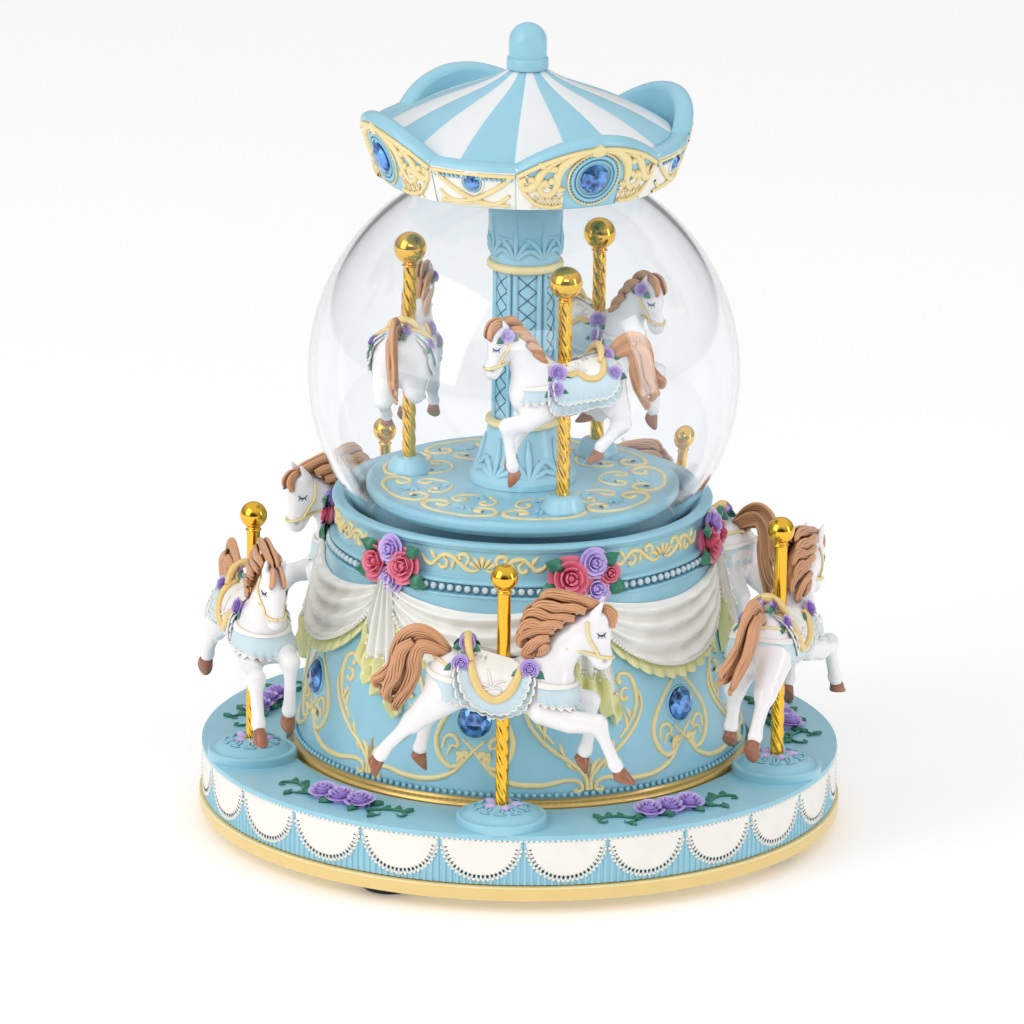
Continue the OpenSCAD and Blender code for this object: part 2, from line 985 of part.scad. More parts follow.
module comb_screws()
{
    color(steel_grey)
        each_comb_screw() {
            difference() {
                translate([0, 0, axis_z + 0.5]) cylinder(r = 2.3, h = 1.5, $fn = 48);
                translate([-3, -0.3, axis_z + 1.3]) cube([6, 0.6, 1]);
            }
            bore(1.2, 37, axis_z + 0.5);
        }
}

// Plate over the movement with two pillars and the cylinder's hanging bearings
module movement_bridge()
{
    color(brass)
        difference() {
            union() {
                translate([-20, -7, bridge_z]) cube([62, 14, 2]);
                translate([8.8, -3, axis_z - 2.5]) cube([2.2, 6, bridge_z - axis_z + 2.5]);
                translate([36.9, -3, axis_z - 2.5]) cube([1.5, 6, bridge_z - axis_z + 2.5]);
                translate([-17.5, 0, bed_top]) cylinder(r = 2.2, h = bridge_z - bed_top);
                translate([40.2, 0, bed_top]) cylinder(r = 1.6, h = bridge_z - bed_top);
            }
            bore(shaft_r + run, bridge_z - 1, bridge_z + 3);
            translate([0, 0, axis_z]) along_x() bore(1 + run, 8, 39);
        }
}

module governor_bracket()
{
    color(brass)
        difference() {
            union() {
                for (x = [26, 32.5])
                    translate([x, train_y - 3, bed_top]) cube([1.5, 10, axis_z + 3 - bed_top]);
                for (z = [35.6, 48])
                    translate([26, worm_y - 2, z]) cube([8, 4, 1.5]);
                for (x = [26, 32.5])
                    translate([x, worm_y - 2, axis_z + 3]) cube([1.5, 3.7, 48 - axis_z - 3]);
                translate([27.5, train_y - 3, bed_top]) cube([5, 10, 2]);
            }
            translate([0, train_y, axis_z]) along_x() bore(0.8 + run, 25, 35);
            translate([worm_x, worm_y, 0]) bore(0.6 + run, 35, 51);
        }
}

// Arbor with the train pinion and the worm wheel
module governor_wheel()
{
    teeth = 20;
    color(brass)
        translate([0, train_y, axis_z])
            along_x() {
                bore(0.8, 25.6, 36.6);
                translate([0, 0, 35.2])
                    rotate([0, 0, 180 / train_pinion])
                        gear(train_pinion, train_module, 1.2, 0.1);
                translate([0, 0, worm_x - 0.6])
                    linear_extrude(1.2)
                        polygon([
                            for (i = [0 : 2 * teeth - 1])
                                let (radius = i % 2 == 0 ? worm_wheel_r : worm_wheel_r - 0.45)
                                [radius * cos(180 * i / teeth), radius * sin(180 * i / teeth)]
                        ]);
            }
}

// Worm spindle with the two-bladed air brake
module governor_fly()
{
    color(steel_grey)
        translate([worm_x, worm_y, 0]) {
            bore(0.6, 35.4, 57);
            bore(worm_r - 0.4, 38, 47.6);
            for (i = [0 : 9])
                bore(worm_r, 38.4 + 0.9 * i, 38.8 + 0.9 * i);
            translate([-4.5, -0.25, 50.5]) cube([9, 0.5, 6]);
        }
}

// ---------------------------------------------------------------- assembly

base_plate();
rubber_feet();
base_screws();
glide_ring();
support_posts();
bedplate();
turret_foot_ring();
turret_shell();
turret_scrollwork();
turret_gems();
turret_drapes();
crown_ring();
crown_scrolls();
rose_clusters();
globe_seat();
globe_gasket();
glass_globe();
canopy_ceiling();
canopy_large_panels();
canopy_small_panels();
canopy_roof();
canopy_gems();
canopy_finial();
comb_block();
music_comb();
comb_screws();
movement_bridge();
governor_bracket();
winding_click();
turntable();
ring_gear();
ring_gear_screws();
lace_trim();
deck_roses();
outer_pedestals();
outer_poles();
outer_horse_1();
outer_horse_2();
outer_horse_3();
outer_horse_4();
outer_horse_5();
idler_gear();
winding_key();
winding_arbor();
ratchet_wheel();
sun_gear();
spring_barrel();
barrel_cover();
mainspring();
drive_shaft();
inner_platform();
column();
inner_poles();
inner_horse_1();
inner_horse_2();
inner_horse_3();
music_cylinder();
governor_wheel();
governor_fly();
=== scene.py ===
"""Looks of the wind-up carousel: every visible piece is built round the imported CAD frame.

Helpers work in millimetres; build() turns them into metres. Angles start at the front (-Y)
and grow towards +X. A flat pattern is drawn in (s, h): s along the surface, h across it.
"""
import math
import json

import bpy
import numpy as np
from mathutils import Matrix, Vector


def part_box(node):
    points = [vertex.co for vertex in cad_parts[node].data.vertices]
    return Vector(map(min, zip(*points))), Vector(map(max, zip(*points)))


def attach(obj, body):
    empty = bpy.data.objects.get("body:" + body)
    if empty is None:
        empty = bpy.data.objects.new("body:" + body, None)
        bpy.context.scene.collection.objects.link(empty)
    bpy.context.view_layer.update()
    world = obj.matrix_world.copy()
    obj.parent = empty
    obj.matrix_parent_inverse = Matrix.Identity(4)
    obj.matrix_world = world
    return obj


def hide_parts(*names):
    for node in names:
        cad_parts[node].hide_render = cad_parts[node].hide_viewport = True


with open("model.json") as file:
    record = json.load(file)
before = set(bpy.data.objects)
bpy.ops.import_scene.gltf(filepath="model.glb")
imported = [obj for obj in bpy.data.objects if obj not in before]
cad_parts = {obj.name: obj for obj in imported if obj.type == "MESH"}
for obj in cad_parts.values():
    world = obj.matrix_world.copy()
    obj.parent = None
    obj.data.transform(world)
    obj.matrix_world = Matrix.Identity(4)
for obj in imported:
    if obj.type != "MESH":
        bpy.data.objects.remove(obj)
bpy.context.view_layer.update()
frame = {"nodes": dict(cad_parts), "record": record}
MM = 0.001


def low(part, axis=2):
    """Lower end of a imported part, in millimetres."""
    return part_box(part)[0][axis] / MM


def high(part, axis=2):
    """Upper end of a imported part, in millimetres."""
    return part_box(part)[1][axis] / MM


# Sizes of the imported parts, in millimetres; a plain number is a size that no box shows
PLATE_R, PLATE_LOW = high("base_plate", 0), low("base_plate")
PLATE_TOP = 6.55
TABLE_R, DECK_Z = high("turntable", 0), high("turntable")
WALL_R = TABLE_R - 0.55
DECK_HOLE_R = 54.5
FOOT_R, FOOT_LOW = high("turret_foot_ring", 0), low("turret_foot_ring")
WALL_LOW_R, WALL_TOP_R = high("turret_shell", 0), 45.3
WALL_LOW_Z, WALL_TOP_Z = low("turret_shell"), high("turret_shell")
WALL_SLOPE = (WALL_LOW_R - WALL_TOP_R) / (WALL_TOP_Z - WALL_LOW_Z)
CROWN_Z, CROWN_R, CROWN_IN_R = high("crown_ring"), 44.2, 39.5
GLOBE_R = high("glass_globe", 0)
GLOBE_Z = high("glass_globe") - GLOBE_R
GLASS_T, MOUTH_Z, NECK_Z = 1.5, 76.5, low("glass_globe")
PLATFORM_R, PLATFORM_LOW, PLATFORM_TOP = high("inner_platform", 0), low("inner_platform"), 82.0
COLUMN_LOW, COLUMN_TOP = low("column"), high("column")
CANOPY_LOW = low("canopy_small_panels")
SMALL_TOP, LARGE_TOP = high("canopy_small_panels"), high("canopy_large_panels")
CANOPY_R, CANOPY_LEAN, PANEL_T = 34.0, 0.32, 3.8
ROOF_LOW_R, ROOF_LOW_Z, COLLAR_Z = high("canopy_roof", 0), 165.5, low("canopy_finial")
TOP_Z = high("canopy_finial")
POLE_RING, POLE_R, BALL_R, POLE_TOP = 64.0, 1.55, 3.15, high("outer_poles")
INNER_RING, INNER_POLE_R, INNER_BALL_R, INNER_TOP = 27.0, 1.6, 3.8, high("inner_poles")
FIRST_HORSE, HORSE_STEP = -3.5, 72
FIRST_INNER, INNER_STEP = 20, 120
FIRST_CLUSTER, CLUSTER_STEP = -42, 60
FIRST_LARGE = 25
HORSE_FLOOR, INNER_FLOOR, INNER_SCALE = 30.0, 90.0, 0.85
SHAFT_R, SHAFT_TOP, COLLAR_TOP = 6.7, 132.8, 182.8

# Where the relief sits, and the radii at which its patterns are measured
GEM_Z, LARGE_GEM_Z, SMALL_GEM_Z = 38.0, 162.4, 161.4
WALL_PATTERN_R, CANOPY_PATTERN_R, PLATFORM_PATTERN_R = 49.0, 37.0, 26.0
SWAG_REACH, SWAG_TOP, HEM_TOP, HEM_SAG = 24.0, 65.8, 61.0, 13.2
TAIL_TOP, TAIL_FALL, HEM_SCALLOPS = 67.0, 26.0, 13

# ---------------------------------------------------------------- materials

# Each colour's _deep partner is painted shade: the darker tone that painted() lays into the recesses
LINEAR = {
    "sky": (0.305, 0.610, 0.745), "sky_deep": (0.090, 0.290, 0.410),
    "cream": (0.880, 0.730, 0.360), "cream_deep": (0.500, 0.320, 0.090),
    "buff": (0.830, 0.600, 0.225), "buff_deep": (0.500, 0.290, 0.080),
    "white": (0.900, 0.880, 0.885), "white_deep": (0.600, 0.540, 0.610),
    "ivory": (0.900, 0.880, 0.820), "ivory_deep": (0.560, 0.540, 0.500),
    "ice": (0.600, 0.740, 0.800), "ice_deep": (0.320, 0.460, 0.540),
    "brown": (0.680, 0.340, 0.165), "brown_deep": (0.170, 0.050, 0.018),
    "hoof": (0.330, 0.120, 0.060), "hoof_deep": (0.100, 0.030, 0.014),
    "pink": (0.840, 0.200, 0.300), "pink_deep": (0.420, 0.020, 0.075),
    "lavender": (0.640, 0.500, 0.900), "lavender_deep": (0.330, 0.190, 0.600),
    "leaf": (0.015, 0.190, 0.110), "leaf_deep": (0.003, 0.070, 0.035),
    "pearl": (0.940, 0.940, 0.890), "pearl_deep": (0.660, 0.680, 0.610),
    "lime": (0.840, 0.820, 0.430), "lime_deep": (0.520, 0.520, 0.160),
    "gold_paint": (0.780, 0.520, 0.160), "gold_paint_deep": (0.340, 0.180, 0.030),
}


def new_material(name):
    mat = bpy.data.materials.new(name)
    mat.use_nodes = True
    tree = mat.node_tree
    return mat, tree, tree.nodes["Principled BSDF"]


def set_inputs(made, **values):
    for key, value in values.items():
        made.inputs[key.replace("_", " ")].default_value = value


def node(tree, kind, **inputs):
    made = tree.nodes.new(kind)
    set_inputs(made, **inputs)
    return made


def mix_colour(tree, factor, first, second):
    made = tree.nodes.new("ShaderNodeMix")
    made.data_type = "RGBA"
    tree.links.new(factor, made.inputs[0])
    for socket, colour in ((made.inputs[6], first), (made.inputs[7], second)):
        if isinstance(colour, tuple):
            socket.default_value = (*colour, 1)
        else:
            tree.links.new(colour, socket)
    return made.outputs[2]


def ramp(tree, source, start=0.0, end=1.0, to_start=0.0, to_end=1.0):
    """Maps start..end of a value to to_start..to_end."""
    made = node(tree, "ShaderNodeMapRange", From_Min=start, From_Max=end, To_Min=to_start, To_Max=to_end)
    tree.links.new(source, made.inputs["Value"])
    return made.outputs["Result"]


def math_node(tree, operation, *sources):
    made = tree.nodes.new("ShaderNodeMath")
    made.operation = operation
    for socket, source in zip(made.inputs, sources):
        if isinstance(source, float):
            socket.default_value = source
        else:
            tree.links.new(source, socket)
    return made.outputs[0]


def object_coords(tree):
    return tree.nodes.new("ShaderNodeTexCoord").outputs["Object"]


def noise(tree, coords, scale, detail):
    made = node(tree, "ShaderNodeTexNoise", Scale=scale, Detail=detail)
    tree.links.new(coords, made.inputs["Vector"])
    return made.outputs["Fac"]


def bump_skin(tree, shader, height, strength, distance):
    relief = node(tree, "ShaderNodeBump", Strength=strength, Distance=distance)
    tree.links.new(height, relief.inputs["Height"])
    tree.links.new(relief.outputs["Normal"], shader.inputs["Normal"])


def painted(name, colour, rough=0.32, coat=0.35, bump=0.12, reach=1.6, metal=0.0):
    """Paint on cast resin with faint brush mottling; painted shade darkens the recesses, laid in by an
    occlusion mask.
    """
    mat, tree, shader = new_material(name)
    coords = object_coords(tree)
    # Occlusion mask that places the painted shade in recesses
    hollow = node(tree, "ShaderNodeAmbientOcclusion", Distance=reach * MM)
    hollow.samples = 6
    hollow.only_local = True
    shade = ramp(tree, hollow.outputs["AO"], 0.35, 0.92)
    mottle = noise(tree, coords, 160.0, 3.0)
    base = LINEAR[colour]
    pale = tuple(min(1.0, c * 1.06 + 0.015) for c in base)
    skin = mix_colour(tree, ramp(tree, mottle, 0.2, 0.9), base, pale)
    # Painted shade: the _deep colour fills wherever the occlusion mask finds a recess
    tree.links.new(mix_colour(tree, shade, LINEAR[colour + "_deep"], skin), shader.inputs["Base Color"])
    bump_skin(tree, shader, noise(tree, coords, 900.0, 4.0), bump, 0.0002)
    gloss = ramp(tree, mottle, to_start=rough - 0.06, to_end=rough + 0.08)
    tree.links.new(gloss, shader.inputs["Roughness"])
    set_inputs(shader, Coat_Weight=coat, Coat_Roughness=0.18, Metallic=metal)
    return mat


def metal(name, colour, rough, scratches=0.05, stretch=(1, 1, 1)):
    mat, tree, shader = new_material(name)
    mapping = node(tree, "ShaderNodeMapping", Scale=stretch)
    tree.links.new(object_coords(tree), mapping.inputs["Vector"])
    fine = noise(tree, mapping.outputs["Vector"], 500.0, 5.0)
    gloss = ramp(tree, fine, to_start=rough, to_end=rough + 0.12)
    tree.links.new(gloss, shader.inputs["Roughness"])
    bump_skin(tree, shader, fine, scratches, 0.0001)
    tone = mix_colour(tree, fine, tuple(c * 0.92 for c in colour), colour)
    tree.links.new(tone, shader.inputs["Base Color"])
    set_inputs(shader, Metallic=1.0)
    return mat


def glass_material():
    mat, _, shader = new_material("clear_glass")
    set_inputs(shader, Base_Color=(0.97, 0.985, 1.0, 1), Transmission_Weight=1.0, Roughness=0.0, IOR=1.47)
    return mat


def gem_material():
    """Foil-backed acrylic whose blue runs from navy to pale blue cell by cell, a painted reflection of the
    cut faces.
    """
    mat, tree, shader = new_material("blue_gem")
    cells = node(tree, "ShaderNodeTexVoronoi", Scale=520.0)
    tree.links.new(object_coords(tree), cells.inputs["Vector"])
    # Painted reflection: dark and light blue patches stand in for the glints in the facets
    painted_sparkle = ramp(tree, cells.outputs["Distance"], 0.15, 0.75)
    tone = mix_colour(tree, painted_sparkle, (0.003, 0.018, 0.140), (0.130, 0.360, 0.820))
    tree.links.new(tone, shader.inputs["Base Color"])
    set_inputs(shader, Metallic=0.75, Roughness=0.06, Coat_Weight=1.0)
    return mat


STRIPE_PAIRS, STRIPE_TURN = 8, 4


def striped_material():
    """Tent stripes: blue over the middle of each panel, white between."""
    mat = painted("resin_striped", "sky", rough=0.38)
    tree = mat.node_tree
    base = tree.nodes["Principled BSDF"].inputs["Base Color"]
    place = tree.nodes.new("ShaderNodeSeparateXYZ")
    tree.links.new(tree.nodes["Texture Coordinate"].outputs["Object"], place.inputs["Vector"])
    turn = math_node(tree, "ARCTAN2", place.outputs["Y"], place.outputs["X"])
    start = -STRIPE_PAIRS * math.radians(FIRST_LARGE + STRIPE_TURN - 90)
    wave = math_node(tree, "COSINE", math_node(tree, "MULTIPLY_ADD", turn, float(STRIPE_PAIRS), start))
    edge = ramp(tree, wave, -0.06, 0.06)
    tree.links.new(mix_colour(tree, edge, (0.860, 0.880, 0.900), base.links[0].from_socket), base)
    return mat


MATS = {
    "sky": painted("resin_blue", "sky", reach=1.1),
    "cream": painted("resin_cream", "cream", rough=0.36, reach=0.9),
    "buff": painted("resin_buff", "buff", rough=0.34, reach=0.9),
    "white": painted("resin_white", "white", rough=0.24, coat=0.6, reach=2.2, bump=0.05),
    "lace": painted("lace_white", "ivory", rough=0.42, coat=0.1, reach=0.6),
    "ice": painted("resin_ice", "ice", rough=0.34, reach=1.0),
    "brown": painted("resin_brown", "brown", rough=0.34, reach=1.4),
    "hoof": painted("resin_hoof", "hoof", rough=0.3, reach=1.0),
    "pink": painted("resin_pink", "pink", rough=0.34, reach=0.6),
    "lavender": painted("resin_lavender", "lavender", rough=0.34, reach=0.6),
    "leaf": painted("resin_leaf", "leaf", rough=0.3, reach=0.8),
    "pearl": painted("resin_pearl", "pearl", rough=0.24, coat=0.7, reach=2.0, bump=0.04),
    "lime": painted("resin_lime", "lime", rough=0.34, reach=1.5),
    "gold_paint": painted("gold_paint", "gold_paint", rough=0.3, metal=0.55),
    "gold": metal("gold_plate", (0.95, 0.55, 0.06), 0.05),
    "steel": metal("steel", (0.60, 0.61, 0.63), 0.25, 0.2, (1, 1, 12)),
    "spring": metal("spring_steel", (0.16, 0.24, 0.38), 0.25, 0.1, (1, 1, 8)),
    "brass": metal("brass", (0.72, 0.50, 0.20), 0.22, 0.2, (1, 12, 1)),
    "gem": gem_material(),
    "glass": glass_material(),
    "stripes": striped_material(),
    "ink": painted("ink", "leaf", rough=0.5, coat=0.0),
    "rubber": painted("black_rubber", "leaf", rough=0.7, coat=0.0, bump=0.4),
    "eyelet": painted("eyelet_shadow", "leaf", rough=0.7, coat=0.0),
    "nylon": painted("nylon", "pearl", rough=0.5, coat=0.0),
}


def plain_colour(mat, colour):
    """Gives a painted material another colour with the same grain and painted shade."""
    for mixer in mat.node_tree.nodes:
        if mixer.type == "MIX" and not mixer.inputs[6].is_linked:
            # Each unlinked first colour becomes the 0.7 tone: the mottle's dark end and the painted shade in
            # recesses
            mixer.inputs[6].default_value = (*(c * 0.7 for c in colour), 1)
            if not mixer.inputs[7].is_linked:
                mixer.inputs[7].default_value = (*colour, 1)


# Ink, rubber and the lace eyelets' painted shadow get their own dark colours
for key, colour in (("ink", (0.020, 0.110, 0.200)), ("eyelet", (0.008, 0.022, 0.030)),
                    ("rubber", (0.016, 0.016, 0.018))):
    plain_colour(MATS[key], colour)

# ---------------------------------------------------------------- shapes


def unit(vector):
    return vector / (np.linalg.norm(vector, axis=-1)[..., None] + 1e-12)


def xyz(x, y, z):
    return np.stack(np.broadcast_arrays(x, y, z), -1)


def polar(r, a, z):
    """Points at radius r and at angle a round the axis."""
    return xyz(r * np.sin(a), -r * np.cos(a), z)


def spaced(values, count):
    """Reads a list evenly at count places; one value is repeated."""
    if not np.ndim(values):
        return np.full(count, float(values))
    return np.interp(np.linspace(0, 1, count), np.linspace(0, 1, len(values)), values)


class Form:
    """Faces of one piece, in millimetres, each with the name of its material."""

    def __init__(self):
        self.points, self.faces, self.slots, self.flat = [], [], [], []
        self.count = 0

    def add(self, points, faces, mat, flat=False):
        points = np.asarray(points, float).reshape(-1, 3)
        self.points.append(points)
        self.faces += [tuple(int(k) + self.count for k in face) for face in faces]
        self.slots += [mat] * len(faces)
        self.flat += [flat] * len(faces)
        self.count += len(points)

    def grid(self, points, mat, wrap=False, flip=False, caps=False):
        """Quads over rows of points; wrap joins each row's ends, caps close the first and last row."""
        rows, cols = points.shape[:2]
        i, j = np.meshgrid(np.arange(rows - 1), np.arange(cols if wrap else cols - 1), indexing="ij")
        up, right = (i + 1) * cols, (j + 1) % cols
        quads = np.stack([i * cols + j, up + j, up + right, i * cols + right], -1).reshape(-1, 4)
        faces = list(quads[:, ::-1] if flip else quads)
        if caps:
            faces += [range(cols), range(rows * cols - 1, (rows - 1) * cols - 1, -1)]
        self.add(points, faces, mat)

    def take(self, other, move, flip=False):
        """Copies another form in, moved."""
        points = move(np.concatenate(other.points))
        self.points.append(points)
        for face in other.faces:
            ids = tuple(k + self.count for k in face)
            self.faces.append(ids[::-1] if flip else ids)
        self.slots += other.slots
        self.flat += other.flat
        self.count += len(points)


def build(name, form, body, replaces=()):
    """Makes the Blender piece and fastens it to its CAD body."""
    mesh = bpy.data.meshes.new(name)
    points = np.concatenate(form.points) * MM
    mesh.from_pydata(points.tolist(), [], form.faces)
    names = sorted(set(form.slots))
    for key in names:
        mesh.materials.append(MATS[key])
    mesh.polygons.foreach_set("material_index", [names.index(key) for key in form.slots])
    mesh.polygons.foreach_set("use_smooth", [not flat for flat in form.flat])
    mesh.validate()
    mesh.update()
    piece = bpy.data.objects.new(name, mesh)
    bpy.context.scene.collection.objects.link(piece)
    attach(piece, body)
    if replaces:
        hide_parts(*replaces)
    return piece


def around(points, angle, radius=0.0, height=0.0):
    """Same placing as in the CAD: local -Y points away from the axis."""
    a = math.radians(angle)
    p = np.asarray(points, float) + (0, -radius, height)
    x, y = p[..., 0], p[..., 1]
    return xyz(x * math.cos(a) - y * math.sin(a), x * math.sin(a) + y * math.cos(a), p[..., 2])


def ring_of(form, one, count, first, step, radius, height=0.0):
    """Copies one form round the axis."""
    for k in range(count):
        form.take(one, lambda p, k=k: around(p, first + step * k, radius, height))


def smooth_path(knots, steps=8):
    """Catmull-Rom curve through the knots."""
    k = np.asarray(knots, float)
    k = np.concatenate([[2 * k[0] - k[1]], k, [2 * k[-1] - k[-2]]])
    out = []
    for i in range(1, len(k) - 2):
        for t in np.linspace(0, 1, steps, endpoint=False):
            a, b, c, d = k[i - 1], k[i], k[i + 1], k[i + 2]
            out.append(0.5 * (2 * b + (c - a) * t + (2 * a - 5 * b + 4 * c - d) * t * t
                              + (3 * b - a - 3 * c + d) * t ** 3))
    out.append(k[-2])
    return np.array(out)


def curl(x, y, heading, length, bend, tighten=2.0, steps=22):
    """Scroll that starts at a heading (degrees) and turns ever more, by bend degrees in all."""
    t = np.linspace(0, 1, steps)
    angle = np.radians(heading + bend * t ** tighten)
    step = length / (steps - 1)
    xs = x + np.concatenate([[0], np.cumsum(np.cos(angle[:-1]) * step)])
    ys = y + np.concatenate([[0], np.cumsum(np.sin(angle[:-1]) * step)])
    return np.stack([xs, ys], 1)


def tube(form, path, radii, mat, sides=8, up=(0, 0, 1), flatten=1.0):
    """Closed rod along a path; a list of radii is spread evenly along it."""
    path = np.asarray(path, float)
    radii = spaced(radii, len(path))
    tangent = unit(np.gradient(path, axis=0))
    side = np.cross(tangent[0], up)
    if np.linalg.norm(side) < 1e-3:
        side = np.cross(tangent[0], (1, 0, 0))
    a = np.linspace(0, 2 * np.pi, sides, endpoint=False)[:, None]
    rings = []
    for centre, way, radius in zip(path, tangent, radii):
        side = unit(side - way * (side @ way))
        rings.append(centre + radius * (np.cos(a) * side + flatten * np.sin(a) * np.cross(side, way)))
    form.grid(np.array(rings), mat, wrap=True, caps=True)


def ball(form, centre, radius, mat, cols=8, rows=6, squash=1.0):
    v = np.linspace(0.02, np.pi - 0.02, rows)[:, None]
    u = np.linspace(0, 2 * np.pi, cols, endpoint=False)
    shell = xyz(np.sin(v) * np.cos(u), np.sin(v) * np.sin(u), squash * np.cos(v))
    form.grid(np.asarray(centre) + radius * shell, mat, wrap=True, caps=True)


def rounded(profile, radius=0.3, steps=3):
    """Rounds every inner corner of a profile of (r, z) points."""
    p = np.asarray(profile, float)
    out = [p[0]]
    for a, b, c in zip(p[:-2], p[1:-1], p[2:]):
        cut = min(radius, 0.45 * np.linalg.norm(b - a), 0.45 * np.linalg.norm(c - b))
        start = b + (a - b) / (np.linalg.norm(a - b) + 1e-9) * cut
        end = b + (c - b) / (np.linalg.norm(c - b) + 1e-9) * cut
        for t in np.linspace(0, 1, steps + 1):
            out.append((1 - t) ** 2 * start + 2 * t * (1 - t) * b + t * t * end)
    out.append(p[-1])
    return np.array(out)


def lathe(form, profile, mat, segments=96, bevel=0.3, wobble=None):
    """Turns a profile of (r, z) points, given from the bottom outside upwards."""
    prof = rounded(profile, bevel) if bevel else np.asarray(profile, float)
    a = np.linspace(0, 2 * np.pi, segments, endpoint=False)
    r = prof[:, :1] + (wobble(a) if wobble else 0)
    form.grid(polar(r, a, prof[:, 1:]), mat, wrap=True, flip=True)


def circle(radius, height, count):
    t = np.linspace(0, 2 * math.pi, count)
    return np.stack([radius * np.cos(t), height + radius * np.sin(t)], 1)


# Surfaces: each takes (s, h, out) and gives a point


def wall_surface(angle):
    lean = math.atan(WALL_SLOPE)

    def place(s, h, out):
        r = WALL_LOW_R - (h - WALL_LOW_Z) * WALL_SLOPE + out * math.cos(lean)
        return polar(r, math.radians(angle) + s / WALL_PATTERN_R, h + out * math.sin(lean))
    return place


def drum_surface(angle, radius):
    def place(s, h, out):
        return polar(radius + out, math.radians(angle) + s / radius, h)
    return place


def canopy_surface(angle):
    def place(s, h, out):
        r = CANOPY_R + (h - CANOPY_LOW) * CANOPY_LEAN + out * 0.95
        return polar(r, math.radians(angle) + s / CANOPY_PATTERN_R, h - 0.3 * out)
    return place


def platform_surface(angle, height):
    """Flat top: s runs back round at radius h."""
    def place(s, h, out):
        return polar(h, math.radians(angle) - s / PLATFORM_PATTERN_R, height + out)
    return place


def relief(form, surface, path, width, height, mat, sides=7):
    """Raised strap along a flat path, lying on a surface."""
    path = np.asarray(path, float)
    wide = spaced(width, len(path))[:, None]
    tangent = unit(np.gradient(path, axis=0))
    t = np.linspace(-0.25, math.pi + 0.25, sides)
    side = np.cos(t) * wide
    out = np.sin(t) * height * np.clip(wide / wide.max(), 0.35, 1)
    form.grid(surface(path[:, :1] - tangent[:, 1:] * side, path[:, 1:] + tangent[:, :1] * side, out), mat,
              flip=True)


def both_sides(form, surface, path, width, height, mat):
    for sign in (1, -1):
        relief(form, surface, np.asarray(path, float) * (sign, 1), width, height, mat)


def scrolls(form, surface, patterns, height, mat="cream"):
    """Mirrored straps, each given as its knots and its widths."""
    for knots, width in patterns:
        both_sides(form, surface, smooth_path(knots), width, height, mat)


def leaves(form, surface, starts, bend, tighten, steps, width, height, mat="cream"):
    """Mirrored curling leaves, each given as its root, heading and length."""
    for root, heading, size in starts:
        both_sides(form, surface, curl(*root, heading, size, bend, tighten, steps), width, height, mat)


def cut_gem(form, surface, height, radius, depth, facets=12):
    """Round brilliant: a flat table, a ring of crown faces and a girdle."""
    rings = []
    for scale, out, shift in ((1.0, 0.0, 0.0), (1.0, 0.35, 0.0), (0.78, 0.72, 0.5), (0.52, 1.0, 0.0)):
        a = (np.arange(facets) + shift) * 2 * math.pi / facets
        rings.append(surface(radius * scale * np.cos(a), height + radius * scale * np.sin(a), depth * out))
    faces = []
    for k in range(facets):
        (a, b), (c, d), (e, f), (g, h) = [(ring * facets + k, ring * facets + (k + 1) % facets)
                                          for ring in range(4)]
        faces += [(a, b, d, c), (c, d, e), (d, f, e), (e, f, h), (e, h, g)]
    faces.append(range(3 * facets, 4 * facets))
    form.add(np.concatenate(rings), faces, "gem", flat=True)


def bead_row(form, radius, height, size, count, mat):
    for a in np.linspace(0, 360, count, endpoint=False):
        ball(form, around((0, 0, 0), a, radius, height), size, mat)


def petal(centre, turn, lift, width, height, curl_back, cup):
    """One rose petal as a cupped sheet round +Z, opening at the angle turn."""
    u = np.linspace(-1, 1, 7)[:, None]
    v = np.linspace(0, 1, 6)[None, :]
    opening = np.sin(np.clip(0.35 + 0.75 * v, 0, 1) * math.pi / 2)
    spread = width * opening * np.sqrt(np.clip(1 - 0.35 * v ** 4, 0, 1))
    angle = turn + u * spread
    bulge = centre + lift * v + curl_back * v ** 3 * (1 - 0.25 * u ** 2)
    z = height * (v - 0.16 * u ** 2 * v) - cup * v ** 4
    return xyz(bulge * np.cos(angle), bulge * np.sin(angle), z)


def rose_form(mat, seed=0.0):
    """Unit rose facing +Z: a tight bud and three rings of overlapping petals, radius near 1."""
    form = Form()
    ball(form, (0, 0, 0.10), 0.42, mat, 12, 8, 1.2)
    rows = ((3, 0.20, 0.10, 1.15, 0.80, 0.02, 0.00), (4, 0.34, 0.18, 0.90, 0.74, 0.06, 0.02),
            (5, 0.48, 0.30, 0.80, 0.62, 0.10, 0.06), (6, 0.58, 0.42, 0.70, 0.44, 0.14, 0.12))
    for k, (count, centre, lift, width, height, back, cup) in enumerate(rows):
        for j in range(count):
            turn = 2 * math.pi * (j + 0.37 * k + seed) / count
            face = petal(centre, turn, lift, width, height, back, cup)
            inner = petal(centre - 0.07, turn, lift, width, height - 0.02, back, cup)
            form.grid(face, mat)
            form.grid(inner, mat, flip=True)
            form.grid(np.stack([face[:, -1], inner[:, -1]], 1), mat)
    ball(form, (0, 0, -0.05), 0.8, mat, 14, 8, 0.5)
    return form


ROSES = {key: rose_form(key, 0.21 * k) for k, key in enumerate(("pink", "lavender"))}


def facing(points, normal, spin=0.0):
    """Turns +Z to a direction."""
    n = unit(np.asarray(normal, float))
    side = np.cross((0, 0, 1), n)
    side = np.array((1.0, 0, 0)) if np.linalg.norm(side) < 1e-3 else unit(side)
    c, s = math.cos(spin), math.sin(spin)
    x = points[..., :1] * c - points[..., 1:2] * s
    y = points[..., :1] * s + points[..., 1:2] * c
    return x * side + y * np.cross(n, side) + points[..., 2:] * n


def add_rose(form, mat, centre, normal, radius, spin=0.0):
    form.take(ROSES[mat], lambda p: np.asarray(centre) + facing(p * radius, normal, spin))


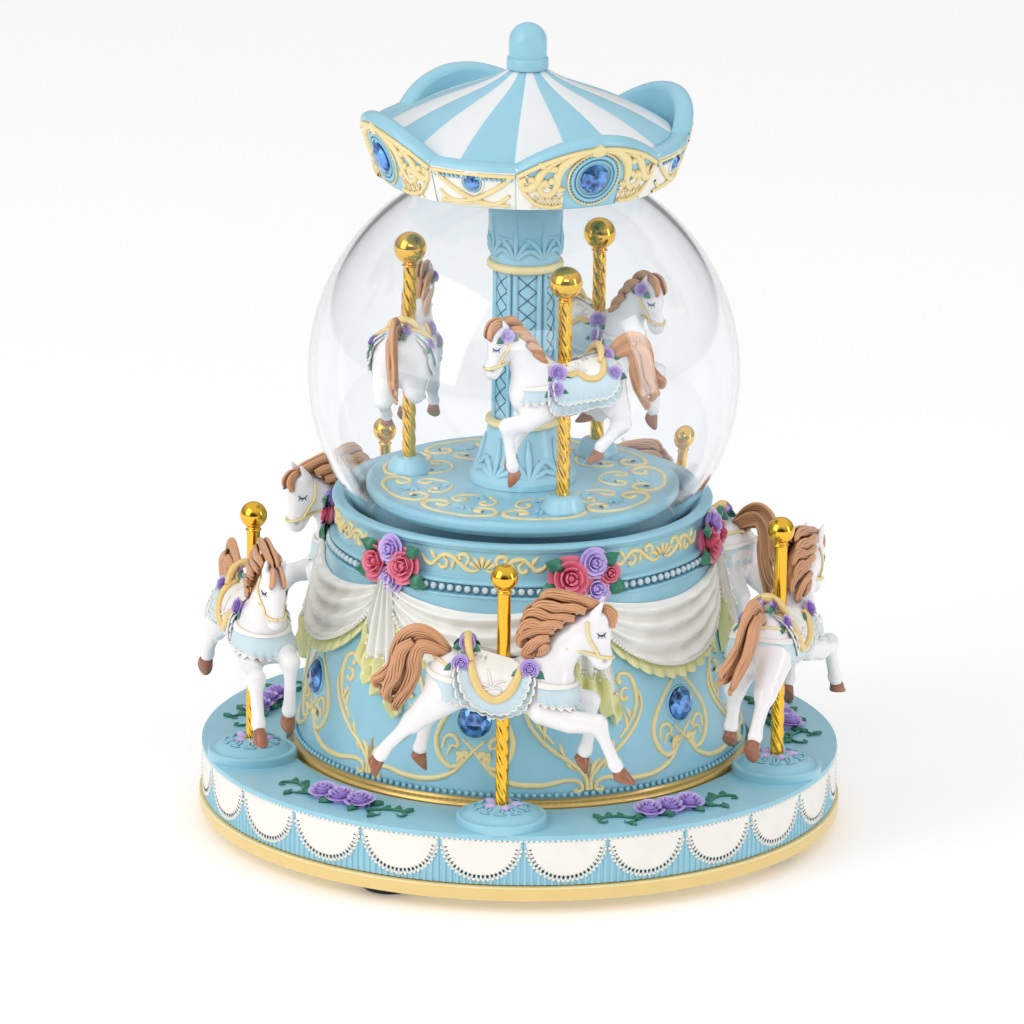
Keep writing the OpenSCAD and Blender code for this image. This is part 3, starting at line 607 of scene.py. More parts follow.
def add_leaf(form, base, direction, normal, length, width, mat="leaf"):
    """Pointed leaf with a raised rib and a thickness."""
    d = unit(np.asarray(direction, float))
    n = np.asarray(normal, float)
    n = unit(n - d * (n @ d))
    t = np.linspace(0, 1, 9)[:, None]
    u = np.linspace(-1, 1, 7)[None, :]
    half = width * np.sin(np.pi * np.clip(t, 0.02, 0.985) ** 0.75)
    rise = width * (0.264 * (1 - np.abs(u)) - 0.25 * u ** 2 + 0.35 * np.sin(np.pi * t))
    face = np.asarray(base) + d * (length * t)[..., None]
    face = face + np.cross(n, d) * (half * u)[..., None] + n * rise[..., None]
    back = face - n * 0.28
    form.grid(face, mat)
    form.grid(back, mat, flip=True)
    for edge in (0, -1):
        form.grid(np.stack([face[:, edge], back[:, edge]], 1), mat, flip=edge == 0)


# ---------------------------------------------------------------- camera and light


def make_camera():
    data = bpy.data.cameras.new("camera")
    data.lens = 376.08
    data.sensor_width = 36.0
    camera = bpy.data.objects.new("camera", data)
    tilt = Matrix.Rotation(math.radians(73.60), 4, "X") @ Matrix.Rotation(0.0119, 4, "Z")
    camera.matrix_world = Matrix.Translation((-0.00238, -2.38242, 0.77479)) @ tilt
    bpy.context.scene.collection.objects.link(camera)
    bpy.context.scene.camera = camera


def area_light(name, place, size, power, colour=(1, 1, 1)):
    """Lamp that faces the middle of the object."""
    data = bpy.data.lights.new(name, "AREA")
    data.shape = "RECTANGLE"
    data.size, data.size_y = size
    data.energy = power
    data.color = colour
    lamp = bpy.data.objects.new(name, data)
    lamp.location = place
    back = unit(np.array(place) - (0, 0, 0.09))
    side = unit(np.cross((0, 0, 1), back))
    lamp.rotation_euler = Matrix(np.stack([side, np.cross(back, side), back], 1)).to_euler()
    bpy.context.scene.collection.objects.link(lamp)
    return lamp


def make_studio():
    scene = bpy.context.scene
    scene.view_settings.view_transform = "Standard"
    world = bpy.data.worlds.new("studio")
    world.use_nodes = True
    tree = world.node_tree
    back = tree.nodes["Background"]
    height = tree.nodes.new("ShaderNodeSeparateXYZ")
    tree.links.new(tree.nodes.new("ShaderNodeTexCoord").outputs["Generated"], height.inputs["Vector"])
    rise = ramp(tree, height.outputs["Z"], 0.02, 0.75)
    walls = mix_colour(tree, rise, (0.30, 0.30, 0.31), (1.0, 1.0, 1.0))
    aside = ramp(tree, height.outputs["Y"], -0.93, -0.78)
    tree.links.new(mix_colour(tree, aside, (0.05, 0.05, 0.055), walls), back.inputs["Color"])
    back.inputs["Strength"].default_value = 0.84
    scene.world = world
    area_light("key", (-0.95, -0.70, 0.75), (0.90, 1.20), 6.5, (1.0, 0.99, 0.97))
    area_light("fill", (1.15, -0.45, 0.40), (0.22, 0.80), 2.2, (0.97, 0.98, 1.0))
    front = area_light("front", (0.10, -1.60, 1.10), (0.9, 0.35), 4.2)
    front.visible_glossy = False
    mat, tree, shader = new_material("floor")
    set_inputs(shader, Base_Color=(0.93, 0.93, 0.93, 1), Emission_Color=(1, 1, 1, 1),
               Emission_Strength=0.20, Roughness=0.6)
    mesh = bpy.data.meshes.new("floor")
    corners = [(4.0 * x, 4.0 * y, 0) for x, y in ((-1, -1), (1, -1), (1, 1), (-1, 1))]
    mesh.from_pydata(corners, [], [(0, 1, 2, 3)])
    mesh.materials.append(mat)
    floor = bpy.data.objects.new("floor", mesh)
    scene.collection.objects.link(floor)


# ---------------------------------------------------------------- base and turntable


def make_base():
    band = Form()
    outer = PLATE_R + 0.06
    lathe(band, [(70.5, PLATE_LOW - 0.06), (outer - 0.4, PLATE_LOW - 0.06), (outer, PLATE_LOW + 0.5),
                 (outer, PLATE_TOP - 0.5), (outer - 0.4, PLATE_TOP + 0.06), (70.5, PLATE_TOP + 0.06)],
                 "buff", 256, 0.35)
    build("base_band", band, "base")
    feet, pad = Form(), Form()
    lathe(pad, [(0.2, 0.0), (5.4, 0.0), (6.4, 0.8), (6.5, PLATE_LOW), (0.2, PLATE_LOW)], "rubber", 48, 0.4)
    for ring in (2.0, 3.6):
        lathe(pad, [(ring, 0.05), (ring + 0.4, 0.0), (ring + 0.8, 0.05)], "rubber", 40, 0.1)
    ring_of(feet, pad, 4, -28, 90, 63)
    build("feet", feet, "base", ["rubber_feet"])


LACE_COUNT, LACE_START, LACE_TEETH, LACE_BEADS = 24, 0.9, 24, 16


def lace_edge(t):
    """Height of a scallop's edge below the rim for t from -1 to 1 across it."""
    return 9.3 * np.sqrt(np.clip(1 - np.abs(t) ** 2.15, 0, 1))


RIB_COUNT = 300


def make_turntable():
    rim_low = DECK_Z - 1.3
    deck = Form()
    lathe(deck, [(WALL_R - 0.25, PLATE_TOP + 0.35), (WALL_R - 0.25, rim_low), (TABLE_R - 0.1, rim_low),
                 (TABLE_R + 0.05, rim_low + 0.3), (TABLE_R + 0.05, DECK_Z - 0.35),
                 (TABLE_R - 0.4, DECK_Z + 0.06), (DECK_HOLE_R + 0.3, DECK_Z + 0.06),
                 (DECK_HOLE_R - 0.05, DECK_Z - 0.4), (DECK_HOLE_R - 0.05, DECK_Z - 3)], "sky", 320, 0.3)
    build("deck_skin", deck, "turntable")
    ribs = Form()
    heights = np.linspace(PLATE_TOP + 0.35, rim_low, 3)[:, None]
    across = np.linspace(-1, 1, 5)
    r = WALL_R - 0.22 + 0.6 * np.sqrt(np.clip(1 - across ** 2, 0, 1))
    pitch = 360 / RIB_COUNT
    for k in range(RIB_COUNT):
        ribs.grid(polar(r, np.radians((k + 0.36 * across) * pitch), heights), "sky", flip=True)
    lathe(ribs, [(WALL_R - 0.2, PLATE_TOP + 0.4), (WALL_R - 0.2, rim_low)], "sky", 300, 0)
    build("wall_ribs", ribs, "turntable")


def make_lace():
    """White scallops with a frilled edge and a frilled top; the edge's eyelets are not pierced but drawn as
    dark marks of painted shadow.
    """
    lace = Form()
    pitch = 360 / LACE_COUNT
    half = math.radians(pitch) * WALL_R / 2
    top = DECK_Z - 1.15
    t = np.linspace(-0.985, 0.985, 61)
    depth = lace_edge(t)
    inset = np.clip(depth - 1.3, 0.05, None)
    s = (t * (half - 0.5))[:, None]
    h = top - 0.35 - inset[:, None] * np.linspace(0, 1, 8)
    edge = np.stack([t * (half - 0.25), top - 0.35 - depth], 1)
    length = np.concatenate([[0], np.cumsum(np.linalg.norm(np.diff(edge, axis=0), axis=1))])
    tooth = length[-1] / LACE_TEETH
    for k in range(LACE_COUNT):
        surface = drum_surface(LACE_START + pitch * (k + 0.5), WALL_R)
        lace.grid(surface(s, h, 0.42), "lace", flip=True)
        lace.grid(surface(s, h[:, :1], np.array([[0.0, 0.42]])), "lace")
        for m in range(LACE_TEETH):
            spot = np.array([np.interp((m + 0.5) * tooth, length, edge[:, i]) for i in (0, 1)])
            inward = unit((0, top + 0.5) - spot)
            bar = np.array([spot + inward * f for f in (1.5, 0.8, 0.1)])
            beside = np.array([inward[1], -inward[0]]) * tooth / 2
            relief(lace, surface, bar + beside, 0.34, 0.46, "lace", 5)
            # Painted shadow: a near-black raised mark stands in for each eyelet's hole
            eyelet = [spot + inward * f for f in (2.0, 1.15, 0.6)]
            relief(lace, surface, eyelet, [0.14, 0.4, 0.34], 0.54, "eyelet", 5)
            ball(lace, surface(*spot, 0.2), 0.44, "lace", squash=0.9)
        relief(lace, surface, np.stack([s[:, 0], h[:, -1]], 1), 0.28, 0.5, "lace", 5)
        for m in range(LACE_BEADS):
            along = ((m + 0.5) / LACE_BEADS * 2 - 1) * half
            ball(lace, surface(along, top - 0.15, 0.15), 0.58, "lace", squash=0.75)
    build("lace", lace, "turntable", ["lace_trim"])


def make_pedestals():
    form, one = Form(), Form()
    base, dome = DECK_Z, high("outer_pedestals")
    lathe(one, [(10.4, base), (10.4, base + 1.9), (10.0, base + 2.2), (9.2, base + 2.0), (8.9, base + 2.1),
                (7.6, base + 3.2), (5.0, base + 4.1), (2.4, dome), (1.5, dome)], "sky", 72, 0.4)
    for k in range(10):
        for bend in (-170, 170):
            path = curl(0, 0, 90, 3.4, bend, 1.6, 10)
            strap = np.stack([path[:, 0], -4.4 - path[:, 1], base + 4.35 - 0.33 * path[:, 1]], 1)
            tube(one, around(strap, 36 * k + bend / 30), [0.42, 0.36, 0.16], "sky", 6, flatten=0.7)
    for k in range(5):
        out = around((0, 0, 0), 72 * k + 20, 1.0)
        add_leaf(one, out * 1.82 + (0, 0, dome - 0.15), out, (0, 0, 1), 3.0, 1.25, "lavender")
    ring_of(form, one, 5, FIRST_HORSE, HORSE_STEP, POLE_RING)
    build("pedestals", form, "turntable", ["outer_pedestals"])


POLE_LOBES = 5


def twisted_pole(bottom, ball_top, radius, ball_r, smooth_from):
    """Rope-twisted rod, its lobes cut as on a barley-sugar column, under a plain ball."""
    centre = ball_top - ball_r
    z = np.linspace(bottom, centre, int((centre - bottom) * 2.2))[:, None]
    a = np.linspace(0, 2 * np.pi, 30, endpoint=False)
    groove = np.abs(np.cos(POLE_LOBES * (a + z * 0.36) / 2))
    r = radius * (1 - np.where(z > smooth_from, 0.0, 0.16) * (1 - groove) ** 1.5 * 1.6)
    rod = xyz(r * np.cos(a), r * np.sin(a), z)
    one = Form()
    one.grid(rod, "gold", wrap=True, flip=True)
    one.add(rod[0], [range(len(a) - 1, -1, -1)], "gold")
    ball(one, (0, 0, centre), ball_r, "gold", 40, 24)
    lathe(one, [(radius * 0.9, centre - ball_r - 0.7), (radius * 1.25, centre - ball_r - 0.3),
                (radius * 0.9, centre - ball_r + 0.3)], "gold", 32, 0.2)
    return one


def make_poles():
    outer, inner = Form(), Form()
    one = twisted_pole(DECK_Z + 1.0, POLE_TOP, POLE_R, BALL_R, HORSE_FLOOR + 27)
    ring_of(outer, one, 5, FIRST_HORSE, HORSE_STEP, POLE_RING)
    build("outer_pole_set", outer, "turntable", ["outer_poles"])
    one = twisted_pole(PLATFORM_TOP + 1.0, INNER_TOP, INNER_POLE_R, INNER_BALL_R, math.inf)
    ring_of(inner, one, 3, FIRST_INNER, INNER_STEP, INNER_RING)
    build("inner_pole_set", inner, "inner_carousel", ["inner_poles"])


# ---------------------------------------------------------------- turret


def make_turret():
    foot = Form()
    lathe(foot, [(FOOT_R - 3, FOOT_LOW), (FOOT_R, FOOT_LOW), (FOOT_R, FOOT_LOW + 1.4),
                 (FOOT_R - 0.5, FOOT_LOW + 1.8), (FOOT_R - 0.1, FOOT_LOW + 2.2),
                 (FOOT_R - 0.5, FOOT_LOW + 2.9), (FOOT_R - 1.4, FOOT_LOW + 3.4),
                 (FOOT_R - 1.6, WALL_LOW_Z)], "gold_paint", 256, 0.3)
    build("foot_moulding", foot, "base", ["turret_foot_ring"])
    wall = Form()
    lathe(wall, [(WALL_LOW_R - 0.8, WALL_LOW_Z - 1), (WALL_LOW_R - 0.1, WALL_LOW_Z + 0.1),
                 (WALL_LOW_R - 0.15, WALL_LOW_Z + 1), (WALL_TOP_R, WALL_TOP_Z)], "sky", 256, 0.2)
    bead_row(wall, WALL_LOW_R + 0.25, WALL_LOW_Z + 0.75, 0.62, 190, "sky")
    build("wall_skin", wall, "base", ["turret_shell"])


WALL_SCROLLS = [
    ([(1.5, 44.8), (4.3, 41.6), (7.4, 37.4), (8.8, 33.2), (7.8, 29.2), (5.2, 27.0), (2.9, 27.8), (2.6, 29.6),
      (3.9, 30.3)], [0.35, 0.6, 0.65, 0.5, 0.7]),
    ([(7.2, 31.0), (6.6, 33.6), (4.9, 34.2), (3.6, 32.8), (3.9, 31.4)], [0.3, 0.55, 0.4]),
    ([(6.0, 29.6), (5.2, 31.6), (3.9, 31.9)], [0.25, 0.4, 0.3]),
    ([(-2.7, 33.6), (-1.6, 32.6), (0, 31.0), (2.2, 28.4), (4.8, 25.6), (9.5, 23.7), (15.5, 23.5),
      (20.5, 24.4),
      (23.3, 24.0), (24.2, 22.4), (22.9, 21.6), (22.4, 22.6)], [0.25, 0.4, 0.55, 0.7, 0.5, 0.5, 0.6]),
    ([(3.4, 27.6), (3.2, 29.2), (2.0, 30.2), (1.1, 29.4)], [0.3, 0.95, 0.9]),
    ([(25.3, 22.0), (24.9, 25.0), (22.0, 28.2), (17.4, 31.6), (13.4, 36.0), (11.6, 40.2), (12.4, 43.4)],
     [0.6, 0.5, 0.5, 0.35]),
    ([(17.8, 33.0), (13.9, 38.0), (12.9, 42.6), (14.2, 46.8), (16.6, 47.8), (17.6, 46.6), (16.9, 45.6)],
     [0.3, 0.6, 0.55, 0.7]),
    ([(15.0, 44.0), (16.2, 44.3), (17.2, 43.0), (16.4, 41.6), (15.3, 42.2)], [0.3, 0.5, 0.6]),
]
WALL_LEAVES = [((15.9, 34.0), 95, 5.2), ((14.6, 36.4), 80, 4.2), ((20.4, 29.8), 120, 3.6),
               ((22.6, 26.6), 140, 3.4)]
WALL_STEMS = [([(0.0, 24.2), (0.0, 27.2), (0.0, 30.2)], [0.3, 0.75, 0.2]),
              ([(0.4, 24.2), (1.2, 27.2), (2.8, 29.2)], [0.3, 0.75, 0.2])]


def make_scrollwork():
    form, gems = Form(), Form()
    for k in range(6):
        surface = wall_surface(FIRST_CLUSTER + 30 + CLUSTER_STEP * k)
        scrolls(form, surface, WALL_SCROLLS, 0.62)
        leaves(form, surface, WALL_LEAVES, -38, 1.4, 9, [0.2, 0.5, 0.15], 0.45)
        scrolls(form, wall_surface(FIRST_CLUSTER + CLUSTER_STEP * k), WALL_STEMS, 0.5)
        relief(form, surface, circle(4.1, GEM_Z, 40), 0.35, 0.45, "sky")
        cut_gem(gems, surface, GEM_Z, 3.75, 1.9)
    build("wall_scrolls", form, "base", ["turret_scrollwork"])
    build("wall_gems", gems, "base", ["turret_gems"])


CROWN_SCROLLS = [
    ([(0.6, 72.2), (2.6, 71.6), (4.9, 72.8), (6.9, 74.5), (9.2, 74.9), (11.0, 73.6), (12.4, 72.3),
      (14.2, 72.9),
      (15.0, 74.4)], [0.3, 0.55, 0.6, 0.5, 0.6, 0.3]),
    ([(4.2, 72.6), (3.2, 74.2), (4.0, 75.5), (5.4, 75.2), (5.3, 74.2)], [0.3, 0.55, 0.5]),
    ([(9.6, 74.6), (8.4, 73.3), (8.9, 72.0), (10.0, 72.0), (10.2, 72.9)], [0.3, 0.5, 0.5]),
]
CROWN_LEAVES = [((0.0, 72.6), 90, 2.9), ((0.5, 72.6), 62, 2.9), ((1.1, 72.4), 38, 2.9),
                ((11.2, 73.4), 60, 2.9), ((6.6, 74.2), -70, 2.9)]


def make_crown():
    z = WALL_TOP_Z
    crown = Form()
    lathe(crown, [(WALL_TOP_R - 0.2, z - 0.4), (WALL_TOP_R + 0.3, z - 0.1), (WALL_TOP_R + 0.2, z + 0.4),
                  (WALL_TOP_R - 0.9, z + 0.6), (WALL_TOP_R - 1.2, z + 1.0), (WALL_TOP_R - 1.2, z + 2.4),
                  (WALL_TOP_R - 0.6, z + 2.8), (WALL_TOP_R - 0.7, z + 3.4), (CROWN_R - 1.0, z + 3.8),
                  (CROWN_R - 1.1, z + 4.4), (CROWN_R - 1.1, CROWN_Z - 2.1), (CROWN_R - 0.5, CROWN_Z - 1.8),
                  (CROWN_R - 0.4, CROWN_Z - 1.3), (CROWN_R, CROWN_Z - 1.0), (CROWN_R, CROWN_Z - 0.4),
                  (CROWN_R - 0.5, CROWN_Z), (CROWN_IN_R + 2.0, CROWN_Z - 0.1), (CROWN_IN_R, CROWN_Z - 2.3),
                  (CROWN_IN_R, CROWN_Z - 6)], "sky", 256, 0.25)
    bead_row(crown, WALL_TOP_R - 0.6, z + 1.7, 0.84, 135, "ice")
    build("crown_moulding", crown, "base", ["crown_ring"])
    band = Form()
    for k in range(6):
        surface = drum_surface(FIRST_CLUSTER + 30 + CLUSTER_STEP * k, CROWN_R - 1.1)
        scrolls(band, surface, CROWN_SCROLLS, 0.55)
        leaves(band, surface, CROWN_LEAVES, -25, 1.5, 8, [0.25, 0.6, 0.12], 0.6)
    build("crown_scroll_band", band, "base", ["crown_scrolls"])


# ---------------------------------------------------------------- globe


def arc_profile(radius, start, end, count):
    return [(radius * math.cos(t), GLOBE_Z + radius * math.sin(t)) for t in np.linspace(start, end, count)]


def make_globe():
    glass = Form()
    inner = GLOBE_R - GLASS_T
    start = math.asin((GLOBE_Z - MOUTH_Z) / GLOBE_R)
    start_in = math.asin((GLOBE_Z - MOUTH_Z) / inner)
    pole = math.pi / 2 - 0.004
    neck_out, neck_in = (GLOBE_R * math.cos(start), NECK_Z), (inner * math.cos(start_in), NECK_Z)
    wall = arc_profile(GLOBE_R, -start, pole, 90) + arc_profile(inner, pole, -start_in, 90)
    lathe(glass, [neck_out, *wall, neck_in, neck_out], "glass", 192, 0)
    piece = build("globe", glass, "base", ["glass_globe"])
    piece.visible_shadow = False


# ---------------------------------------------------------------- inner carousel


PLATFORM_OUTER = [([(0, 33.2), (4.0, 33.0), (7.4, 31.4), (8.2, 28.6), (6.4, 26.4), (4.0, 27.0), (3.8, 28.9),
                    (5.4, 29.3)], [0.5, 0.7, 0.6, 0.8])]
PLATFORM_INNER = [([(0, 17.5), (3.2, 18.4), (5.8, 20.6), (6.0, 23.2), (4.0, 24.4), (2.4, 23.0),
                    (3.2, 21.8)], [0.4, 0.6, 0.5, 0.7])]
PLATFORM_LEAVES = ((90, 4.2), (60, 3.6), (35, 3.2))
PLATFORM_REPEATS = 9


def make_platform():
    form, cone = Form(), Form()
    z = PLATFORM_TOP
    lathe(form, [(20, PLATFORM_LOW), (PLATFORM_R - 1.5, PLATFORM_LOW), (PLATFORM_R, PLATFORM_LOW + 1.4),
                 (PLATFORM_R, z - 0.8), (PLATFORM_R - 0.7, z), (PLATFORM_R - 2.2, z - 0.1), (8, z - 0.1)],
                 "sky", 192, 0.4)
    lathe(cone, [(5.3, z - 0.3), (5.1, z + 0.4), (4.3, z + 2.2), (3.7, z + 3.3), (3.2, z + 3.7),
                 (1.5, z + 3.7)], "sky", 48, 0.4)
    ring_of(form, cone, 3, FIRST_INNER, INNER_STEP, INNER_RING)
    outward = [((0.2, 26.0), heading, size) for heading, size in PLATFORM_LEAVES]
    homeward = [((0.2, 20.0), -heading, size * 0.7) for heading, size in PLATFORM_LEAVES]
    for k in range(PLATFORM_REPEATS):
        surface = platform_surface(360 / PLATFORM_REPEATS * k + 10, z - 0.15)
        scrolls(form, surface, PLATFORM_OUTER, 0.5)
        scrolls(form, surface, PLATFORM_INNER, 0.45)
        leaves(form, surface, outward, -50, 1.5, 8, [0.3, 0.8, 0.2], 0.6, "sky")
        leaves(form, surface, homeward, 50, 1.5, 8, [0.3, 0.7, 0.2], 0.5, "sky")
    build("platform_skin", form, "inner_carousel", ["inner_platform"])


def acanthus(form, surface, height, blades, bend, tighten, steps, width, lift):
    """Fan of blades, each its heading, length and start; all but the upright one bend outwards."""
    for heading, size, start in blades:
        path = curl(start, height, heading, size, bend * np.sign(heading - 90), tighten, steps)
        relief(form, surface, path, width, lift, "sky")


FOOT_BLADES = ((90, 8.6, 0.0), (62, 6.4, 0.5), (118, 6.4, -0.5), (38, 4.6, 0.8), (142, 4.6, -0.8))
CAP_BLADES = ((90, 10.5, 0.0), (66, 8.0, 0.3), (114, 8.0, -0.3), (45, 5.4, 0.6), (135, 5.4, -0.6))
COLUMN_PANELS, LATTICE_ROWS = 6, 9


def make_column():
    form = Form()
    z0 = COLUMN_LOW
    shaft_low, ring_top = z0 + 15.0, SHAFT_TOP + 2.0
    for profile, mat, bevel in (
            ([(12.4, z0), (12.4, z0 + 1.6), (11.9, z0 + 2.1), (10.6, z0 + 3.6), (9.4, z0 + 7.0),
              (8.3, z0 + 12.6), (8.0, z0 + 13.6)], "sky", 0.5),
            ([(7.6, z0 + 13.2), (8.7, z0 + 13.5), (9.0, z0 + 14.2), (8.7, z0 + 14.9), (7.3, z0 + 15.2)],
             "cream", 0.4),
            ([(SHAFT_R, shaft_low), (SHAFT_R, SHAFT_TOP)], "sky", 0),
            ([(7.0, SHAFT_TOP - 0.4), (8.7, SHAFT_TOP), (9.0, SHAFT_TOP + 0.9), (8.7, ring_top - 0.3),
              (7.6, ring_top)], "cream", 0.4),
            ([(8.0, ring_top - 0.2), (8.1, ring_top + 1), (8.5, 142), (8.7, 149.5), (8.9, 150.2),
              (8.9, COLUMN_TOP), (4, COLUMN_TOP)], "sky", 0.4)):
        lathe(form, profile, mat, 96, bevel)
    pitch = (SHAFT_TOP - shaft_low - 2) / LATTICE_ROWS
    for k in range(COLUMN_PANELS):
        middle = 360 / COLUMN_PANELS * k + 5
        surface = drum_surface(middle, SHAFT_R)
        for m in range(LATTICE_ROWS):
            base = shaft_low + 1 + pitch * m
            for reach in (2.2, -2.2):
                bar = [(-reach, base), (0, base + pitch / 2), (reach, base + pitch)]
                relief(form, surface, bar, 0.16, 0.22, "ink", 5)
        pier = drum_surface(middle + 180 / COLUMN_PANELS, SHAFT_R)
        for s in (-0.75, 0.75):
            rib = [(s, shaft_low), (s, (shaft_low + SHAFT_TOP) / 2), (s, SHAFT_TOP)]
            relief(form, pier, rib, 0.62, 0.75, "sky", 9)
    for k in range(8):
        def flare(s, h, out, surface=drum_surface(45 * k + 8, 9.6)):
            swell = np.interp(h, [z0 + 2, z0 + 4, z0 + 7, z0 + 13], [1.7, 0.8, -0.1, -1.2])
            return surface(s, h, out + swell)
        acanthus(form, flare, z0 + 2.6, FOOT_BLADES, 70, 1.8, 10, [0.5, 0.85, 0.3], 0.8)
        cap = drum_surface(45 * k + 30, 8.3)
        acanthus(form, cap, ring_top + 1.6, CAP_BLADES, 95, 2.0, 12, [0.45, 0.7, 0.25], 0.6)
    build("column_skin", form, "inner_carousel", ["column"])


# ---------------------------------------------------------------- canopy

LARGE_HALF, SMALL_HALF = 29.0, 16.0
FACE_ROWS = 9


def panel_top(angle):
    """Height of the canopy's upper edge at an angle from a large panel's middle."""
    edge = np.sin(np.radians(np.abs(angle))) / math.sin(math.radians(LARGE_HALF))
    arch = LARGE_TOP - (LARGE_TOP - SMALL_TOP) * edge ** 2
    return np.where(np.abs(angle) <= LARGE_HALF, arch, SMALL_TOP)


def panel_skin(form, middle, half, top_of, face):
    """Leaning panel with a fat rolled upper edge."""
    rows = []
    for a in np.linspace(-half, half, int(half * 2)):
        top = float(top_of(a)) - 1.6
        lean_r = CANOPY_R + (top - CANOPY_LOW) * CANOPY_LEAN
        section = [(CANOPY_R - PANEL_T, CANOPY_LOW + 0.2), (CANOPY_R - 0.3, CANOPY_LOW),
                   (CANOPY_R, CANOPY_LOW + 0.3)]
        section += [(CANOPY_R + (z - CANOPY_LOW) * CANOPY_LEAN, z)
                    for z in np.linspace(CANOPY_LOW + 1.5, top - 0.8, 6)]
        section += [(lean_r - PANEL_T / 2 + (PANEL_T / 2 + 0.35) * math.cos(t), top + 1.75 * math.sin(t))
                    for t in np.linspace(0, math.pi, 9)]
        section += [(lean_r - PANEL_T, top - 2.0), (CANOPY_R - PANEL_T, CANOPY_LOW + 0.2)]
        r, z = np.array(section).T
        rows.append(polar(r, math.radians(middle + a), z))
    rows = np.array(rows)
    form.grid(rows[:, :FACE_ROWS + 1], face)
    form.grid(rows[:, FACE_ROWS:], "sky")
    for end, step in ((0, 1), (-1, -1)):
        form.add(rows[end], [range(rows.shape[1])[::step]], "lace")


LARGE_SCROLLS = [
    ([(1.4, 169.4), (5.0, 168.4), (7.8, 166.2), (9.0, 163.2), (9.2, 160.6), (10.8, 158.9), (12.8, 159.6),
      (13.0, 161.4), (11.8, 161.9), (11.2, 161.0)], [0.6, 1.25, 1.1, 0.8, 0.7, 1.1, 0.9]),
    ([(5.0, 168.3), (9.2, 167.4), (12.2, 165.0), (13.8, 162.4), (15.2, 160.6), (17.0, 160.8), (17.2, 162.4),
      (16.2, 162.9)], [0.4, 0.9, 1.2, 0.8, 1.0]),
    ([(17.4, 163.2), (16.6, 159.8), (13.8, 156.8), (9.8, 155.9), (7.4, 156.3)], [0.3, 0.55, 0.5]),
]
LARGE_LEAVES = [((8.4, 165.4), 10, 3.0), ((9.0, 162.8), -10, 2.6), ((11.8, 165.4), 60, 2.4),
                ((13.8, 162.4), 25, 2.4), ((9.2, 160.6), 205, 2.2), ((6.6, 167.4), -60, 2.2)]


def make_large_panels(gems):
    form = Form()
    across = np.linspace(0, 1, 14)[:, None]
    up = np.linspace(0, 1, 8)[None, :]
    for k in range(4):
        middle = FIRST_LARGE + 90 * k
        panel_skin(form, middle, LARGE_HALF, panel_top, "sky")
        surface = canopy_surface(middle)
        for side in (-1, 1):
            s = side * (7.2 + (math.radians(LARGE_HALF) * CANOPY_PATTERN_R - 7.4) * across)
            h = 155.2 + (4.2 + 6.4 * across ** 1.4) * up
            form.grid(surface(s, h, 0.12), "lace", flip=side < 0)
        border = [(math.radians(a) * CANOPY_PATTERN_R, float(panel_top(a)) - 2.8)
                  for a in np.linspace(0, LARGE_HALF - 1, 24)]
        both_sides(form, surface, border, 0.62, 0.7, "cream")
        for radius, wide, mat in ((6.4, 0.30, "cream"), (5.4, 0.50, "sky"), (4.4, 0.30, "sky")):
            relief(form, surface, circle(radius, LARGE_GEM_Z, 48), wide, 0.5, mat)
        for s, h in circle(5.95, LARGE_GEM_Z, 45)[:-1]:
            ball(form, surface(s, h, 0.2), 0.3, "sky", 6, 5)
        scrolls(form, surface, LARGE_SCROLLS, 0.9)
        for m in range(4):
            for starts, lift in (((7.4, 8.3, 9.0), 0.5), ((9.6, 8.4, 7.4), 0.45)):
                bar = [(s + 1.7 * m, h) for s, h in zip(starts, (155.6, 157.2, 158.8))]
                both_sides(form, surface, bar, 0.28, lift, "cream")
        leaves(form, surface, LARGE_LEAVES, -60, 1.5, 8, [0.4, 1.0, 0.25], 0.95)
        relief(form, surface, [(-1.6, 169.0), (0, 169.4), (1.6, 169.0)], [1.1, 1.9, 1.1], 0.9, "cream")
        cut_gem(gems, surface, LARGE_GEM_Z, 3.5, 1.7)
    build("large_panel_set", form, "base", ["canopy_large_panels"])


def make_small_panels(gems):
    form = Form()
    edge = math.radians(SMALL_HALF) * CANOPY_PATTERN_R
    cross = ([(edge - 0.6, 163.6), (6.4, 160.6), (2.6, 158.3), (0, 157.2), (-3.4, 156.4),
              (-edge + 1.5, 156.0)], [0.6, 0.65, 0.45])
    arc = ([(edge - 1.4, 158.6), (6.4, 156.6), (3.4, 156.0), (0, 156.4)], [0.4, 0.5, 0.4])
    for k in range(4):
        middle = FIRST_LARGE + 45 + 90 * k
        panel_skin(form, middle, SMALL_HALF, lambda a: SMALL_TOP, "lace")
        surface = canopy_surface(middle)
        border = [(s, SMALL_TOP - 2.5) for s in np.linspace(-edge, edge, 24)]
        relief(form, surface, border, 0.5, 0.5, "cream")
        for s in np.linspace(-edge + 1, edge - 1, 17):
            ball(form, surface(s, SMALL_TOP - 3.5, 0.15), 0.42, "sky")
        scrolls(form, surface, [cross], 0.55)
        scrolls(form, surface, [arc], 0.5)
        for radius, mat in ((2.7, "lace"), (2.1, "sky")):
            relief(form, surface, circle(radius, SMALL_GEM_Z, 32), 0.3, 0.4, mat)
        cut_gem(gems, surface, SMALL_GEM_Z, 1.75, 1.1, 10)
    build("small_panel_set", form, "base", ["canopy_small_panels"])


def make_canopy_panels():
    gems = Form()
    make_large_panels(gems)
    make_small_panels(gems)
    build("canopy_gem_set", gems, "base", ["canopy_gems"])


